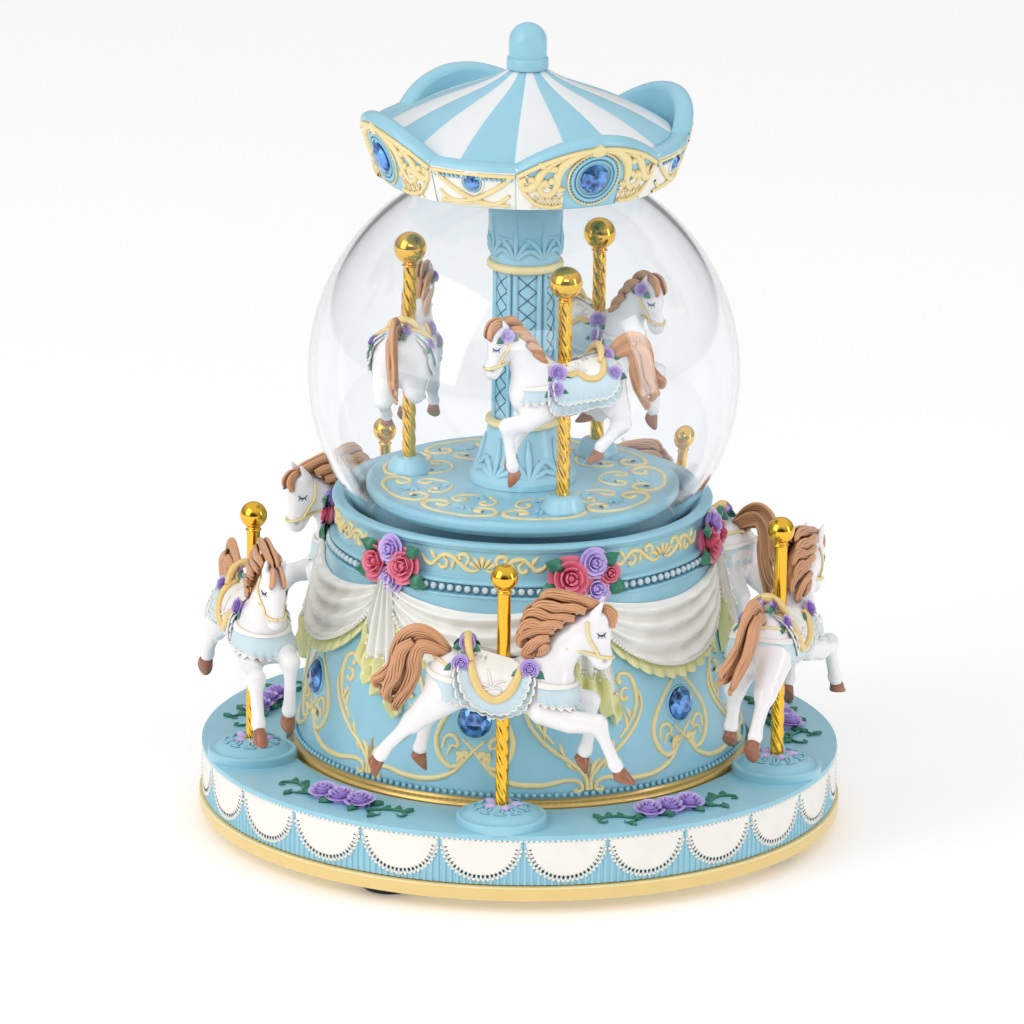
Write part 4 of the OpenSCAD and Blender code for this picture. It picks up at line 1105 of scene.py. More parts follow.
def make_roof():
    roof = Form()
    f = np.linspace(1, 0, 40)
    r = 4.4 + (ROOF_LOW_R - 4.4) * f
    z = ROOF_LOW_Z + (COLLAR_Z - ROOF_LOW_Z) * (0.25 * (1 - f) ** 6 + 0.75 * (1 - f ** 1.7))
    profile = [(ROOF_LOW_R - 0.6, ROOF_LOW_Z - 1.8)] + list(zip(r, z)) + [(2.0, COLLAR_Z)]

    def pleat(a):
        """Shallow scallop between the stripes' seams."""
        middle = np.abs(np.cos(STRIPE_PAIRS * (a - math.radians(FIRST_LARGE + STRIPE_TURN))))
        return -0.28 * (1 - middle) ** 3
    lathe(roof, profile, "stripes", 384, 0, pleat)
    build("roof_skin", roof, "base", ["canopy_roof"])
    finial = Form()
    lathe(finial, [(3.6, COLLAR_Z + 0.05), (4.7, COLLAR_Z + 0.15), (4.85, COLLAR_Z + 0.7),
                   (4.85, COLLAR_TOP - 0.7), (4.55, COLLAR_TOP - 0.2), (4.3, COLLAR_TOP)], "sky", 64, 0.3)
    knob = [(4.35, COLLAR_TOP), (4.42, COLLAR_TOP + 1.6)]
    knob += [(4.42 * math.cos(t), TOP_Z - 4.4 + 4.4 * math.sin(t))
             for t in np.linspace(0, math.pi / 2 - 0.02, 16)]
    lathe(finial, knob, "sky", 64, 0)
    build("finial_skin", finial, "base", ["canopy_finial"])


# ---------------------------------------------------------------- horses


def limb(p, knots, squash=1.0):
    """Distance to a chain of tapered round rods, given as (x, y, z, radius)."""
    best = None
    scale = np.array((1.0, 1.0 / squash, 1.0))
    for a, b in zip(knots[:-1], knots[1:]):
        start, end = np.array(a[:3]) * scale, np.array(b[:3]) * scale
        along = end - start
        rel = p * scale - start
        t = np.clip(rel @ along / (along @ along), 0, 1)
        d = np.linalg.norm(rel - t[..., None] * along, axis=-1) - (a[3] + (b[3] - a[3]) * t)
        best = d if best is None else np.minimum(best, d)
    return best


def melt(first, second, reach):
    h = np.clip(0.5 + 0.5 * (second - first) / reach, 0, 1)
    return second + (first - second) * h - reach * h * (1 - h)


def distance_field(figure):
    def field(p):
        d = None
        for knots, squash, reach in figure["flesh"]:
            part = limb(p, knots, squash)
            d = part if d is None else melt(part, d, reach)
        for x, y, z, r in figure["hollows"]:
            for side in (-1, 1):
                pit = np.linalg.norm(p - (x, side * y, z), axis=-1) - r
                d = -melt(-d, pit, 0.5)
        return d
    return field


def surface_net(field, corner, far, step):
    """Smooth quads round the zero level of a distance field."""
    axes = [np.arange(a, b + step, step) for a, b in zip(corner, far)]
    shape = tuple(len(a) for a in axes)
    points = np.stack(np.meshgrid(*axes, indexing="ij"), -1)
    value = field(points.reshape(-1, 3)).reshape(shape)
    cells = tuple(n - 1 for n in shape)
    total, count, edges = np.zeros(cells + (3,)), np.zeros(cells), []
    for d in range(3):
        lower = tuple(slice(0, -1) if k == d else slice(None) for k in range(3))
        upper = tuple(slice(1, None) if k == d else slice(None) for k in range(3))
        a, b = value[lower], value[upper]
        cross = (a < 0) != (b < 0)
        t = np.where(cross, a / np.where(cross, a - b, 1), 0)
        spot = points[lower] + (t * step)[..., None] * np.eye(3)[d]
        e, f = (d + 1) % 3, (d + 2) % 3
        for de in (0, 1):
            for df in (0, 1):
                cut = [slice(None)] * 3
                cut[e], cut[f] = slice(de, de + cells[e]), slice(df, df + cells[f])
                cut = tuple(cut)
                total += np.where(cross[cut][..., None], spot[cut], 0)
                count += cross[cut]
        edges.append((cross, a < 0, e, f))
    used = count > 0
    index = np.full(cells, -1)
    index[used] = np.arange(used.sum())
    faces = []
    for cross, inside, e, f in edges:
        ids = np.argwhere(cross)
        keep = np.ones(len(ids), bool)
        for axis in (e, f):
            keep &= (ids[:, axis] > 0) & (ids[:, axis] < shape[axis] - 1)
        ids = ids[keep]
        inner = inside[tuple(ids.T)]
        quad = []
        for de, df in ((1, 1), (0, 1), (0, 0), (1, 0)):
            cell = ids.copy()
            cell[:, e] -= de
            cell[:, f] -= df
            quad.append(index[tuple(cell.T)])
        quad = np.stack(quad, 1)
        quad[~inner] = quad[~inner][:, ::-1]
        faces.append(quad)
    return total[used] / count[used][:, None], np.concatenate(faces)


def cast(field, start, direction, reach):
    """Point where rays from inside the body leave it, or from outside meet it."""
    start = np.asarray(start, float)
    direction = np.broadcast_to(np.asarray(direction, float), start.shape)
    near_shape = start.shape[:-1]
    near, far = np.zeros(near_shape), np.full(near_shape, reach)
    found = np.zeros(near_shape, bool)

    def side_of(way):
        return np.sign(field((start + way * direction).reshape(-1, 3))).reshape(near_shape)
    sign = side_of(0.0)
    grid = np.linspace(0, reach, 40)
    for a, b in zip(grid[:-1], grid[1:]):
        hit = (side_of(b) != sign) & ~found
        near, far = np.where(hit, a, near), np.where(hit, b, far)
        found |= hit
    for _ in range(12):
        mid = (near + far) / 2
        same = side_of(mid[..., None]) == sign
        near, far = np.where(same, mid, near), np.where(same, far, mid)
    return start + ((near + far) / 2)[..., None] * direction, found


def on_side(field, xz, side, lift):
    """Lays (x, z) points on the flank, lifted off it."""
    xz = np.asarray(xz, float)
    start = xyz(xz[..., 0], side * 14.0, xz[..., 1])
    hit, found = cast(field, start, (0, -side, 0), 14.0)
    y = np.where(found, hit[..., 1], side * 1.0)
    return xyz(xz[..., 0], y + side * lift, xz[..., 1])


def rims(form, face, back, mat, flip=False):
    """Closes the four edges between the face of a sheet and its back."""
    for edge in (0, -1):
        form.grid(np.stack([face[:, edge], back[:, edge]], 1), mat, flip=(edge == -1) != flip)
        form.grid(np.stack([face[edge], back[edge]], 1), mat, flip=(edge == 0) != flip)


def cloth(form, outer, push, mat, flip=False):
    """Closed sheet: its outer face and a back face pushed inwards."""
    back = outer - push
    form.grid(outer, mat, flip=flip)
    form.grid(back, mat, flip=not flip)
    rims(form, outer, back, mat, flip)


def lock(form, knots, width, strands, thick, side, tip):
    """Lock of carved hair: side-by-side strands that gather to a point."""
    path = smooth_path(knots, 7)
    t = np.linspace(0, 1, len(path))
    across = unit(np.cross(unit(np.gradient(path, axis=0)), (0, 1, 0)))
    swell = np.interp(t, (0, 0.15, 0.45, 0.8, 1), (0.75, 1.0, 1.0, 0.78, tip)) * width / 2
    for k in range(strands + 2):
        f = (k + 0.5) / (strands + 2) * 2 - 1
        wave = 0.16 * np.sin(2 * np.pi * (1.5 * t + 0.17 * k)) * (0.4 + t)
        shift = across * (swell * (f * 0.8 + wave))[:, None]
        bulge = np.outer((1 - f * f) * swell * 0.34 * thick, (0, side, 0))
        tube(form, path + shift + bulge, swell / (strands + 2) * 1.6, "brown", 8, (0, 1, 0), thick * 1.15)


def hoof(form, top, sole):
    """Wedge from the fetlock to a flat sole that runs out to a pointed toe."""
    top, sole = np.array(top, float), np.array(sole, float)
    down = unit(sole - top)
    ahead = np.array((-down[2], 0.0, down[0]))
    toe = 0.80 * ahead + 0.60 * down
    turn = np.linspace(0, 2 * np.pi, 24, endpoint=False)
    rings = []
    for part, width, reach in ((0.0, 1.0, 1.2), (0.02, 1.35, 1.55), (0.5, 1.65, 1.9), (0.93, 1.85, 2.3),
                               (1.0, 1.7, 2.15), (1.0, 0.05, 0.05)):
        way = ahead + (toe - ahead) * part
        front = np.clip(np.cos(turn), 0, 1) ** 2 * 0.5 * part * (width > 0.1)
        rings.append(top + (sole - top) * part + np.outer(np.cos(turn) * reach + front, way)
                     + np.outer(np.sin(turn) * width, (0, 1, 0)))
    form.grid(np.array(rings), "hoof", wrap=True)


BELT_REACH, BELT_TEETH = 8.9, 14


def belt(form, field, centre, turns, top, bottom, ruffle, teeth, mat):
    """Band round the chest or rump with a frilled lower edge."""
    theta = np.radians(turns)[:, None]
    v = np.linspace(0, 1, 8)[None, :]
    z = top[:, None] * (1 - v) + bottom[:, None] * v
    out = xyz(np.cos(theta), np.sin(theta), 0 * v)
    start = xyz(centre, 0.0, z)
    hit, _ = cast(field, start, out, 18.0)
    hit = start + out * np.minimum(np.linalg.norm(hit - start, axis=-1), BELT_REACH)[..., None]
    frill = 0.5 + 0.5 * np.cos(np.linspace(0, 2 * np.pi * teeth, len(turns)))[:, None]
    lift = 0.45 + ruffle * v ** 2.5 * frill + 0.25 * v
    hit[..., 2] -= 0.7 * frill * v ** 4
    cloth(form, hit + out * lift[..., None], out * 0.42, mat, flip=True)


def respaced(path, count):
    return np.stack([spaced(column, count) for column in np.asarray(path).T], 1)


SPRAY = ((98, 15, 5.2), (62, -95, 4.6), (134, 95, 4.6), (28, -120, 3.4), (168, 120, 3.4))
FLANK = (0, 1, 0)


def dress_flank(form, field, figure, side):
    """Bridle, roses, blanket, saddle and eye of one side."""
    def lay(path, lift):
        return on_side(field, path, side, lift)
    for path, wide, mat in figure["straps"]:
        tube(form, lay(smooth_path(path, 6), 0.12), wide, mat, 8, FLANK, 0.7)
    for x, z, r, mat in figure["roses"]:
        centre = lay((x, z), 0.5)
        add_rose(form, mat, centre, (0.1, side, 0.35), r, x)
        for turn in (math.radians(200), math.radians(330)):
            way = np.array((math.cos(turn), 0.1 * side, math.sin(turn)))
            add_leaf(form, centre + way * r * 0.6, way, (0, side, 0.2), r * 1.5, r * 0.55)
    inner, outer = (respaced(smooth_path(figure[key], 8), 128) for key in ("seat_edge", "blanket_edge"))
    frill = np.sqrt(np.abs(np.sin(np.linspace(0, 1, 128) * np.pi * figure["frills"])))[:, None]
    for end, low_lift, depth in ((1.0, 0.45, 0.65), (0.70, 1.0, 0.5)):
        v = np.linspace(0, end, 12)[None, :, None]
        xz = inner[:, None] * (1 - v) + outer[:, None] * v
        v = v[..., 0] / end
        shrink = (0.85 * (1 - frill) * v ** 5)[..., None] * unit(inner - outer)[:, None]
        spot = lay(xz + shrink, 0)
        spot[..., 1] += side * (low_lift + depth * frill * v ** 3)
        cloth(form, spot, np.array((0, side * 0.45, 0)), "ice", flip=side > 0)
        tube(form, spot[:, -1], 0.26, "lace", 6, FLANK)
    tube(form, lay(inner, 0.9), figure["rim"], "buff", 10, FLANK, 0.9)
    v = np.linspace(0, 1, 10)[None, :, None]
    base = respaced(figure["seat_top"], 128)
    spot = lay(base[:, None] * (1 - v) + inner[:, None] * v, 0.8)
    cloth(form, spot, np.array((0, side * 0.4, 0)), "lace", flip=side > 0)
    root = base[64] * 0.25 + inner[64] * 0.75
    for heading, bend, size in SPRAY:
        line = curl(*root, heading, size * figure["spray"], bend, 1.4, 14)
        tube(form, lay(line, 0.85), [0.16, 0.34, 0.14], "white", 6, FLANK, 0.8)
    x, z = figure["eye"]
    lid = [(x - 1.0, z + 0.35), (x - 0.3, z - 0.35), (x + 0.5, z - 0.3), (x + 1.0, z + 0.3)]
    tube(form, lay(smooth_path(lid, 5), 0.05), [0.08, 0.2, 0.2, 0.08], "ink", 6, FLANK)
    for dx in (-0.5, 0.1, 0.6):
        lash = [(x + dx, z - 0.3), (x + dx * 1.5, z - 1.1)]
        tube(form, lay(lash, 0.06), [0.14, 0.04], "ink", 5, FLANK)


def sculpt_horse(figure):
    form = Form()
    field = distance_field(figure)
    form.add(*surface_net(field, (-31, -10.5, -0.5), (28, 10.5, 47), 0.42), "white")
    for top, sole in figure["hooves"]:
        hoof(form, top, sole)
    tube(form, smooth_path(figure["crest"]), [0.9, 1.4, 1.7, 1.9, 1.7, 0.9], "brown", 14, FLANK, 1.1)
    for n, (knots, width, strands) in enumerate(figure["mane"]):
        for side in (-1, 1):
            knots_here = [(x, side * (y + 0.55 * (n % 2)), z) for x, y, z in knots]
            lock(form, knots_here, width, strands, 1.2, side, 0.2)
    for knots, width, strands in figure["tail"]:
        lock(form, knots, width, strands, 1.25, -1, 0.42)
    for side in (-1, 1):
        dress_flank(form, field, figure, side)
    tube(form, smooth_path(figure["cantle"]), [0.7, 1.0, 1.1, 1.0, 0.7], "buff", 12, (1, 0, 0), 0.9)
    angles = np.linspace(0, 2 * np.pi, 40)
    for x, z, tilt in figure["nosebands"]:
        out = np.stack([np.cos(angles), np.sin(angles), tilt * np.cos(angles)], -1)
        ring, _ = cast(field, np.broadcast_to((x, 0.0, z), out.shape), out, 8.0)
        tube(form, ring + 0.12 * out, 0.42, "cream", 8, (0, 0, 1), 0.8)
    side = np.abs(np.linspace(-1, 1, 90)) ** 1.5
    for band in figure["belts"]:
        turns = np.linspace(band["from"], band["to"], 90)
        top, bottom = (middle + (end - middle) * side for middle, end in zip(band["mid"], band["end"]))
        for upper, lower, ruffle, teeth, mat in ((top, bottom, 0.35, BELT_TEETH, "ice"),
                                                 (top + 0.3, top - 0.3, 0.15, 1, "lace"),
                                                 (bottom + 0.1, bottom - 0.5, 0.5, BELT_TEETH, "lace")):
            belt(form, field, band["x"], turns, upper, lower, ruffle, teeth, mat)
    return form


def leg(*knots):
    return (list(knots), 1.0, 1.3)


def pair(knots, squash, reach):
    """The same limb on either side."""
    return [([(x, side * y, z, r) for x, y, z, r in knots], squash, reach) for side in (-1, 1)]


OUTER_HORSE = {
    "flesh": [
        ([(-10.5, 0, 23, 6.6), (0, 0, 21, 6.4), (9, 0, 21.8, 6.5)], 0.92, 1.0),
        ([(10.5, 0, 19.8, 5.6), (11, 0, 20, 5.6)], 0.95, 2.5),
        *pair([(-12, 2.0, 22.2, 5.1), (-11.6, 2.0, 22.2, 5.1)], 1.0, 2.0),
        ([(9.0, 0, 24.5, 5.7), (13.0, 0, 30.0, 4.5), (16.8, 0, 34.2, 3.8)], 0.80, 2.6),
        ([(19.4, 0, 34.8, 4.2), (19.9, 0, 34.4, 4.2)], 0.72, 2.0),
        ([(20.2, 0, 35.2, 3.8), (22.0, 0, 29.6, 2.45)], 0.74, 1.6),
        ([(21.2, 0, 37.4, 3.0), (21.4, 0, 37.0, 3.0)], 0.8, 1.5),
        ([(22.2, 0, 28.8, 2.4), (22.4, 0, 27.9, 2.2)], 0.88, 1.4),
        ([(20.0, 0, 30.6, 1.9), (21.4, 0, 28.6, 1.6)], 0.8, 1.0),
        *pair([(20.7, 1.8, 39.2, 1.35), (22.5, 2.2, 42.4, 0.4)], 0.8, 0.7),
        leg((9.5, -3.2, 17.2, 3.9), (15.4, -4.2, 14.6, 2.8), (21.8, -4.4, 14.1, 2.1)),
        leg((21.8, -4.4, 14.1, 2.15), (23.4, -4.5, 10.6, 1.45), (25.3, -4.6, 6.2, 1.45),
            (25.9, -4.6, 4.9, 1.75), (26.9, -4.6, 3.2, 1.35)),
        leg((10.5, 3.2, 18.4, 3.9), (15.4, 4.0, 17.8, 2.7), (19.6, 4.2, 17.0, 2.1)),
        leg((19.6, 4.2, 17.0, 2.1), (19.7, 4.3, 12.6, 1.4), (19.2, 4.3, 7.6, 1.4), (18.6, 4.3, 5.2, 1.75),
            (18.0, 4.3, 3.6, 1.3)),
        leg((-13, -3.2, 20, 4.9), (-17.4, -4.0, 16.0, 3.3), (-20.0, -4.2, 13.6, 2.4)),
        leg((-20.0, -4.2, 13.6, 2.4), (-22.8, -4.4, 10.9, 1.6), (-25.8, -4.5, 7.8, 1.45),
            (-27.4, -4.6, 5.5, 1.75), (-28.2, -4.6, 4.2, 1.3)),
        leg((-12, 3.2, 19, 4.9), (-15.4, 3.9, 15.4, 3.1), (-17.4, 4.1, 13.2, 2.4)),
        leg((-17.4, 4.1, 13.2, 2.4), (-17.9, 4.2, 9.6, 1.55), (-18.6, 4.3, 6.4, 1.45),
            (-19.1, 4.4, 4.6, 1.75), (-19.2, 4.4, 3.4, 1.3))],
    "hollows": [(23.1, 1.8, 28.4, 0.6), (22.4, 3.1, 35.2, 0.6)],
    "hooves": [((26.6, -4.6, 3.6), (28.2, -4.6, 0.7)), ((18.2, 4.3, 4.0), (17.4, 4.3, 1.6)),
               ((-27.9, -4.6, 4.6), (-29.5, -4.6, 2.2)),
               ((-19.2, 4.4, 3.7), (-19.5, 4.4, 1.0))],
    "crest": [(20.6, 0, 40.4), (16.4, 0, 40.6), (12.2, 0, 39.6), (9.2, 0, 37.4), (7.6, 0, 34.0),
              (7.2, 0, 30.8)],
    "mane": [([(22.0, 0.5, 39.8), (20.2, 0.5, 41.2), (17.0, 0.5, 42.1), (13.4, 0.5, 42.9),
               (10.2, 0.5, 43.4), (8.6, 0.5, 42.4), (9.6, 0.5, 41.4)], 2.6, 3),
             ([(18.6, 1.3, 40.0), (16.0, 1.4, 40.8), (13.0, 1.3, 40.6), (10.6, 1.1, 41.0), (8.4, 0.8, 41.2),
               (6.8, 0.7, 40.2), (7.4, 0.7, 39.2)], 2.6, 3),
             ([(16.2, 2.4, 38.4), (13.6, 2.5, 38.7), (10.6, 2.2, 38.4), (7.6, 1.8, 39.4), (5.6, 1.5, 39.0),
               (4.8, 1.3, 37.6), (6.0, 1.3, 37.0)], 2.5, 3),
             ([(13.6, 2.5, 37.0), (11.2, 2.5, 37.2), (8.6, 2.2, 36.6), (6.4, 1.8, 37.0), (4.6, 1.5, 36.2),
               (4.2, 1.3, 34.6), (5.4, 1.3, 34.2)], 2.5, 3),
             ([(11.6, 2.7, 35.6), (9.4, 2.7, 35.4), (7.2, 2.2, 35.2), (5.0, 1.7, 34.4), (3.6, 1.4, 32.8),
               (4.2, 1.4, 31.4), (5.6, 1.4, 31.6)], 2.5, 3),
             ([(10.6, 3.0, 34.0), (8.6, 2.9, 33.6), (7.4, 2.5, 32.8), (6.0, 2.1, 31.2), (5.0, 1.9, 29.8),
               (6.6, 1.9, 29.2), (7.4, 2.0, 30.4)], 2.5, 3),
             ([(10.2, 3.4, 32.6), (9.4, 3.4, 31.6), (8.8, 3.3, 30.4), (7.6, 3.0, 29.4)], 2.2, 3),
             ([(21.6, 0.0, 40.2), (23.6, 0.2, 40.0), (24.9, 0.5, 38.2), (24.7, 0.8, 36.8),
               (25.3, 0.9, 36.4)], 2.0, 3)],
    "tail": [([(-12.6, 0, 29.2), (-15.6, -0.2, 32.6), (-19.4, -0.2, 34.2), (-22.6, 0, 32.6),
               (-24.2, 0.6, 28.8), (-25.0, 1.4, 25.0), (-27.4, 2.4, 22.4), (-29.4, 3.2, 21.0),
               (-29.2, 3.6, 19.6), (-28.0, 3.8, 19.9)], 3.6, 5),
             ([(-12.6, 0.2, 28.8), (-16.0, 0.2, 31.0), (-19.0, 0.2, 31.8), (-21.2, 0.4, 29.6),
               (-22.0, 0.8, 26.0), (-23.0, 1.6, 22.4), (-25.4, 2.8, 19.2), (-27.6, 3.8, 18.2),
               (-27.8, 4.2, 17.0)], 4.0, 5),
             ([(-12.6, -0.6, 28.4), (-16.6, -1.1, 30.4), (-19.0, -1.2, 30.4), (-20.2, -1.0, 27.6),
               (-20.2, -0.4, 24.4), (-21.6, 0.6, 20.4), (-23.6, 1.8, 17.4), (-25.0, 2.6, 15.0),
               (-24.0, 3.0, 14.2)], 3.8, 5),
             ([(-20.4, -1.4, 31.6), (-23.2, -1.5, 29.6), (-24.2, -1.2, 26.2), (-24.8, -0.6, 23.0),
               (-26.2, 0.4, 20.2), (-26.8, 1.4, 17.6), (-25.6, 2.0, 16.2)], 3.4, 4)],
    "straps": [([(19.0, 37.8), (19.4, 34.6), (20.8, 31.6), (21.8, 29.4)], 0.42, "cream"),
               ([(-8.4, 25.2), (-13.0, 27.4), (-16.2, 28.2)], 0.4, "cream")],
    "nosebands": [(21.8, 29.6, -0.25)],
    "roses": [(-9.4, 27.6, 2.0, "lavender"), (-8.2, 31.6, 1.7, "lavender"), (6.2, 26.8, 2.1, "lavender")],
    "seat_edge": [(-8.0, 31.6), (-7.4, 28.4), (-6.0, 24.2), (-3.8, 21.0), (-1.2, 19.9), (1.4, 21.3),
                  (3.2, 24.0), (4.4, 27.0)],
    "seat_top": ((-6.6, 30.6), (3.2, 28.0)), "rim": 1.0, "frills": 15, "spray": 0.85,
    "cantle": [(-7.0, -4.6, 28.4), (-7.8, -3.0, 31.6), (-8.1, 0, 33.0), (-7.8, 3.0, 31.6), (-7.0, 4.6, 28.4)],
    "blanket_edge": [(-10.8, 28.6), (-10.9, 24.4), (-9.4, 19.2), (-5.0, 15.0), (0.0, 13.9), (4.4, 16.4),
                     (7.0, 20.6), (7.8, 25.0)],
    "eye": (22.3, 35.0),
    "belts": [{"x": 8.0, "from": -88, "to": 88, "mid": (22.6, 17.8), "end": (24.0, 20.2)},
              {"x": -8.0, "from": 92, "to": 268, "mid": (25.6, 21.4), "end": (24.0, 19.4)}],
}


INNER_HORSE = {
    "flesh": [
        ([(-9.5, 0, 25.8, 7.4), (0, 0, 23.8, 7.2), (7.5, 0, 25.0, 7.2)], 0.9, 1.0),
        ([(8.6, 0, 23.0, 6.0), (9, 0, 23.4, 6.0)], 0.95, 2.5),
        *pair([(-10, 2.4, 26, 6.0), (-9.6, 2.4, 26, 6.0)], 1.0, 2.0),
        ([(8.0, 0, 28.0, 6.2), (11.4, 0, 34.0, 4.9), (14.2, 0, 38.4, 4.0)], 0.80, 2.6),
        ([(17.2, 0, 38.6, 4.0), (17.8, 0, 38.2, 4.0)], 0.72, 2.0),
        ([(17.8, 0, 38.6, 3.6), (20.0, 0, 32.4, 2.3)], 0.76, 1.6),
        ([(18.2, 0, 40.6, 3.0), (18.6, 0, 40.2, 3.0)], 0.8, 1.5),
        ([(20.3, 0, 31.6, 2.35), (20.5, 0, 30.6, 2.15)], 0.9, 1.4),
        *pair([(17.2, 1.7, 42.4, 1.25), (18.4, 2.1, 45.0, 0.35)], 0.8, 0.8),
        leg((7.5, -3.2, 20.4, 4.2), (12.6, -4.2, 17.0, 2.9), (17.6, -4.4, 16.4, 2.1)),
        leg((17.6, -4.4, 16.4, 2.1), (17.2, -4.5, 12.0, 1.45), (16.6, -4.6, 7.6, 1.45),
            (16.2, -4.6, 5.4, 1.75), (15.8, -4.6, 3.8, 1.35)),
        leg((9.0, 3.2, 20.0, 4.0), (10.4, 4.0, 15.6, 2.6), (10.6, 4.2, 12.6, 2.0)),
        leg((10.6, 4.2, 12.6, 2.0), (12.2, 4.3, 9.0, 1.45), (13.2, 4.3, 7.2, 1.75), (13.4, 4.3, 5.8, 1.3)),
        leg((-12, -3.2, 22, 4.9), (-14.4, -4.0, 17.4, 3.2), (-14.8, -4.2, 14.4, 2.4)),
        leg((-14.8, -4.2, 14.4, 2.4), (-11.8, -4.4, 11.2, 1.6), (-9.0, -4.5, 8.8, 1.7),
            (-8.2, -4.6, 7.2, 1.35)),
        leg((-11, 3.2, 21, 4.9), (-12.4, 3.9, 17.0, 3.0), (-11.6, 4.1, 15.6, 2.2)),
        leg((-11.6, 4.1, 15.6, 2.2), (-9.8, 4.2, 16.4, 1.6), (-8.4, 4.3, 15.8, 1.5))],
    "hollows": [(21.2, 1.75, 31.4, 0.55), (20.2, 3.1, 37.6, 0.55)],
    "hooves": [((15.9, -4.6, 4.2), (15.4, -4.6, 1.5)), ((13.4, 4.3, 6.2), (13.2, 4.3, 3.6)),
               ((-8.4, -4.6, 7.6), (-7.4, -4.6, 5.0)),
               ((-8.8, 4.3, 15.8), (-7.4, 4.3, 13.6))],
    "crest": [(17.8, 0, 42.8), (14.8, 0, 42.0), (12.0, 0, 39.8), (9.6, 0, 36.8), (8.2, 0, 34.0),
              (7.6, 0, 31.6)],
    "mane": [([(19.0, 0.5, 43.2), (17.2, 0.5, 44.2), (15.0, 0.5, 44.2), (13.2, 0.5, 43.2),
               (12.3, 0.5, 41.8)], 2.6, 3),
             ([(16.4, 1.9, 42.6), (14.2, 2.0, 42.5), (12.4, 1.7, 41.4), (10.9, 1.4, 39.8),
               (10.7, 1.3, 38.4)], 2.6, 3),
             ([(13.8, 2.4, 41.0), (11.8, 2.2, 40.0), (10.1, 1.9, 38.6), (8.8, 1.6, 36.8), (8.8, 1.5, 35.4)],
              2.6, 3),
             ([(11.8, 2.8, 38.6), (9.8, 2.6, 37.2), (8.3, 2.2, 35.6), (7.2, 1.9, 33.8), (7.4, 1.9, 32.4)],
              2.6, 3),
             ([(10.2, 3.2, 36.0), (8.4, 3.0, 34.4), (7.1, 2.7, 32.8), (6.4, 2.5, 31.2), (7.2, 2.6, 30.2)],
              2.5, 3),
             ([(16.8, 0.1, 43.6), (19.0, 0.2, 44.2), (21.0, 0.5, 43.0), (21.9, 0.8, 41.0),
               (21.5, 1.0, 39.5)], 2.6, 3)],
    "tail": [([(x + 0.6, 0.5 * y, 32 + 1.05 * (z - 29)) for x, y, z in knots], 0.95 * width, strands)
             for knots, width, strands in OUTER_HORSE["tail"]],
    "straps": [([(16.6, 41.4), (17.2, 38.0), (18.8, 34.6), (19.8, 32.2)], 0.42, "cream")],
    "nosebands": [(19.7, 32.6, -0.25)],
    "roses": [(3.8, 30.2, 2.2, "lavender"), (5.0, 26.4, 1.9, "lavender"), (-11.4, 33.0, 1.9, "lavender"),
              (-11.2, 29.6, 1.9, "lavender"),
              (17.6, 41.2, 1.7, "lavender")],
    "seat_edge": [(-9.6, 33.6), (-8.6, 30.8), (-6.6, 28.8), (-4.0, 28.6), (-1.8, 29.8), (0.4, 29.4),
                  (2.0, 30.0), (3.2, 31.4)],
    "seat_top": ((-7.4, 33.2), (1.8, 31.6)), "rim": 0.9, "frills": 17, "spray": 0.4,
    "cantle": [(-8.4, -4.6, 32.2), (-9.2, -3.0, 34.8), (-9.5, 0, 35.8), (-9.2, 3.0, 34.8), (-8.4, 4.6, 32.2)],
    "blanket_edge": [(-13.6, 31.0), (-13.6, 25.4), (-11.0, 21.4), (-6.6, 20.0), (-1.6, 18.9), (3.4, 18.6),
                     (6.8, 20.8), (7.4, 26.0)],
    "eye": (20.3, 37.6),
    "belts": [{"x": 5.0, "from": -88, "to": 88, "mid": (26.6, 22.6), "end": (27.4, 24.6)}],
}


def make_horses():
    outer, inner, small = sculpt_horse(OUTER_HORSE), sculpt_horse(INNER_HORSE), Form()
    small.take(inner, lambda p: p * (-INNER_SCALE, INNER_SCALE, INNER_SCALE), flip=True)
    for k in range(5):
        form = Form()
        ring_of(form, outer, 1, FIRST_HORSE + HORSE_STEP * k, 0, POLE_RING, HORSE_FLOOR)
        build(f"leaping_horse_{k + 1}", form, "turntable", [f"outer_horse_{k + 1}"])
    for k in range(3):
        form = Form()
        ring_of(form, small, 1, FIRST_INNER + INNER_STEP * k, 0, INNER_RING, INNER_FLOOR)
        build(f"prancing_horse_{k + 1}", form, "inner_carousel", [f"inner_horse_{k + 1}"])


# ---------------------------------------------------------------- drapery and flowers


def hem_height(sag):
    return HEM_TOP - HEM_SAG * sag ** 0.85


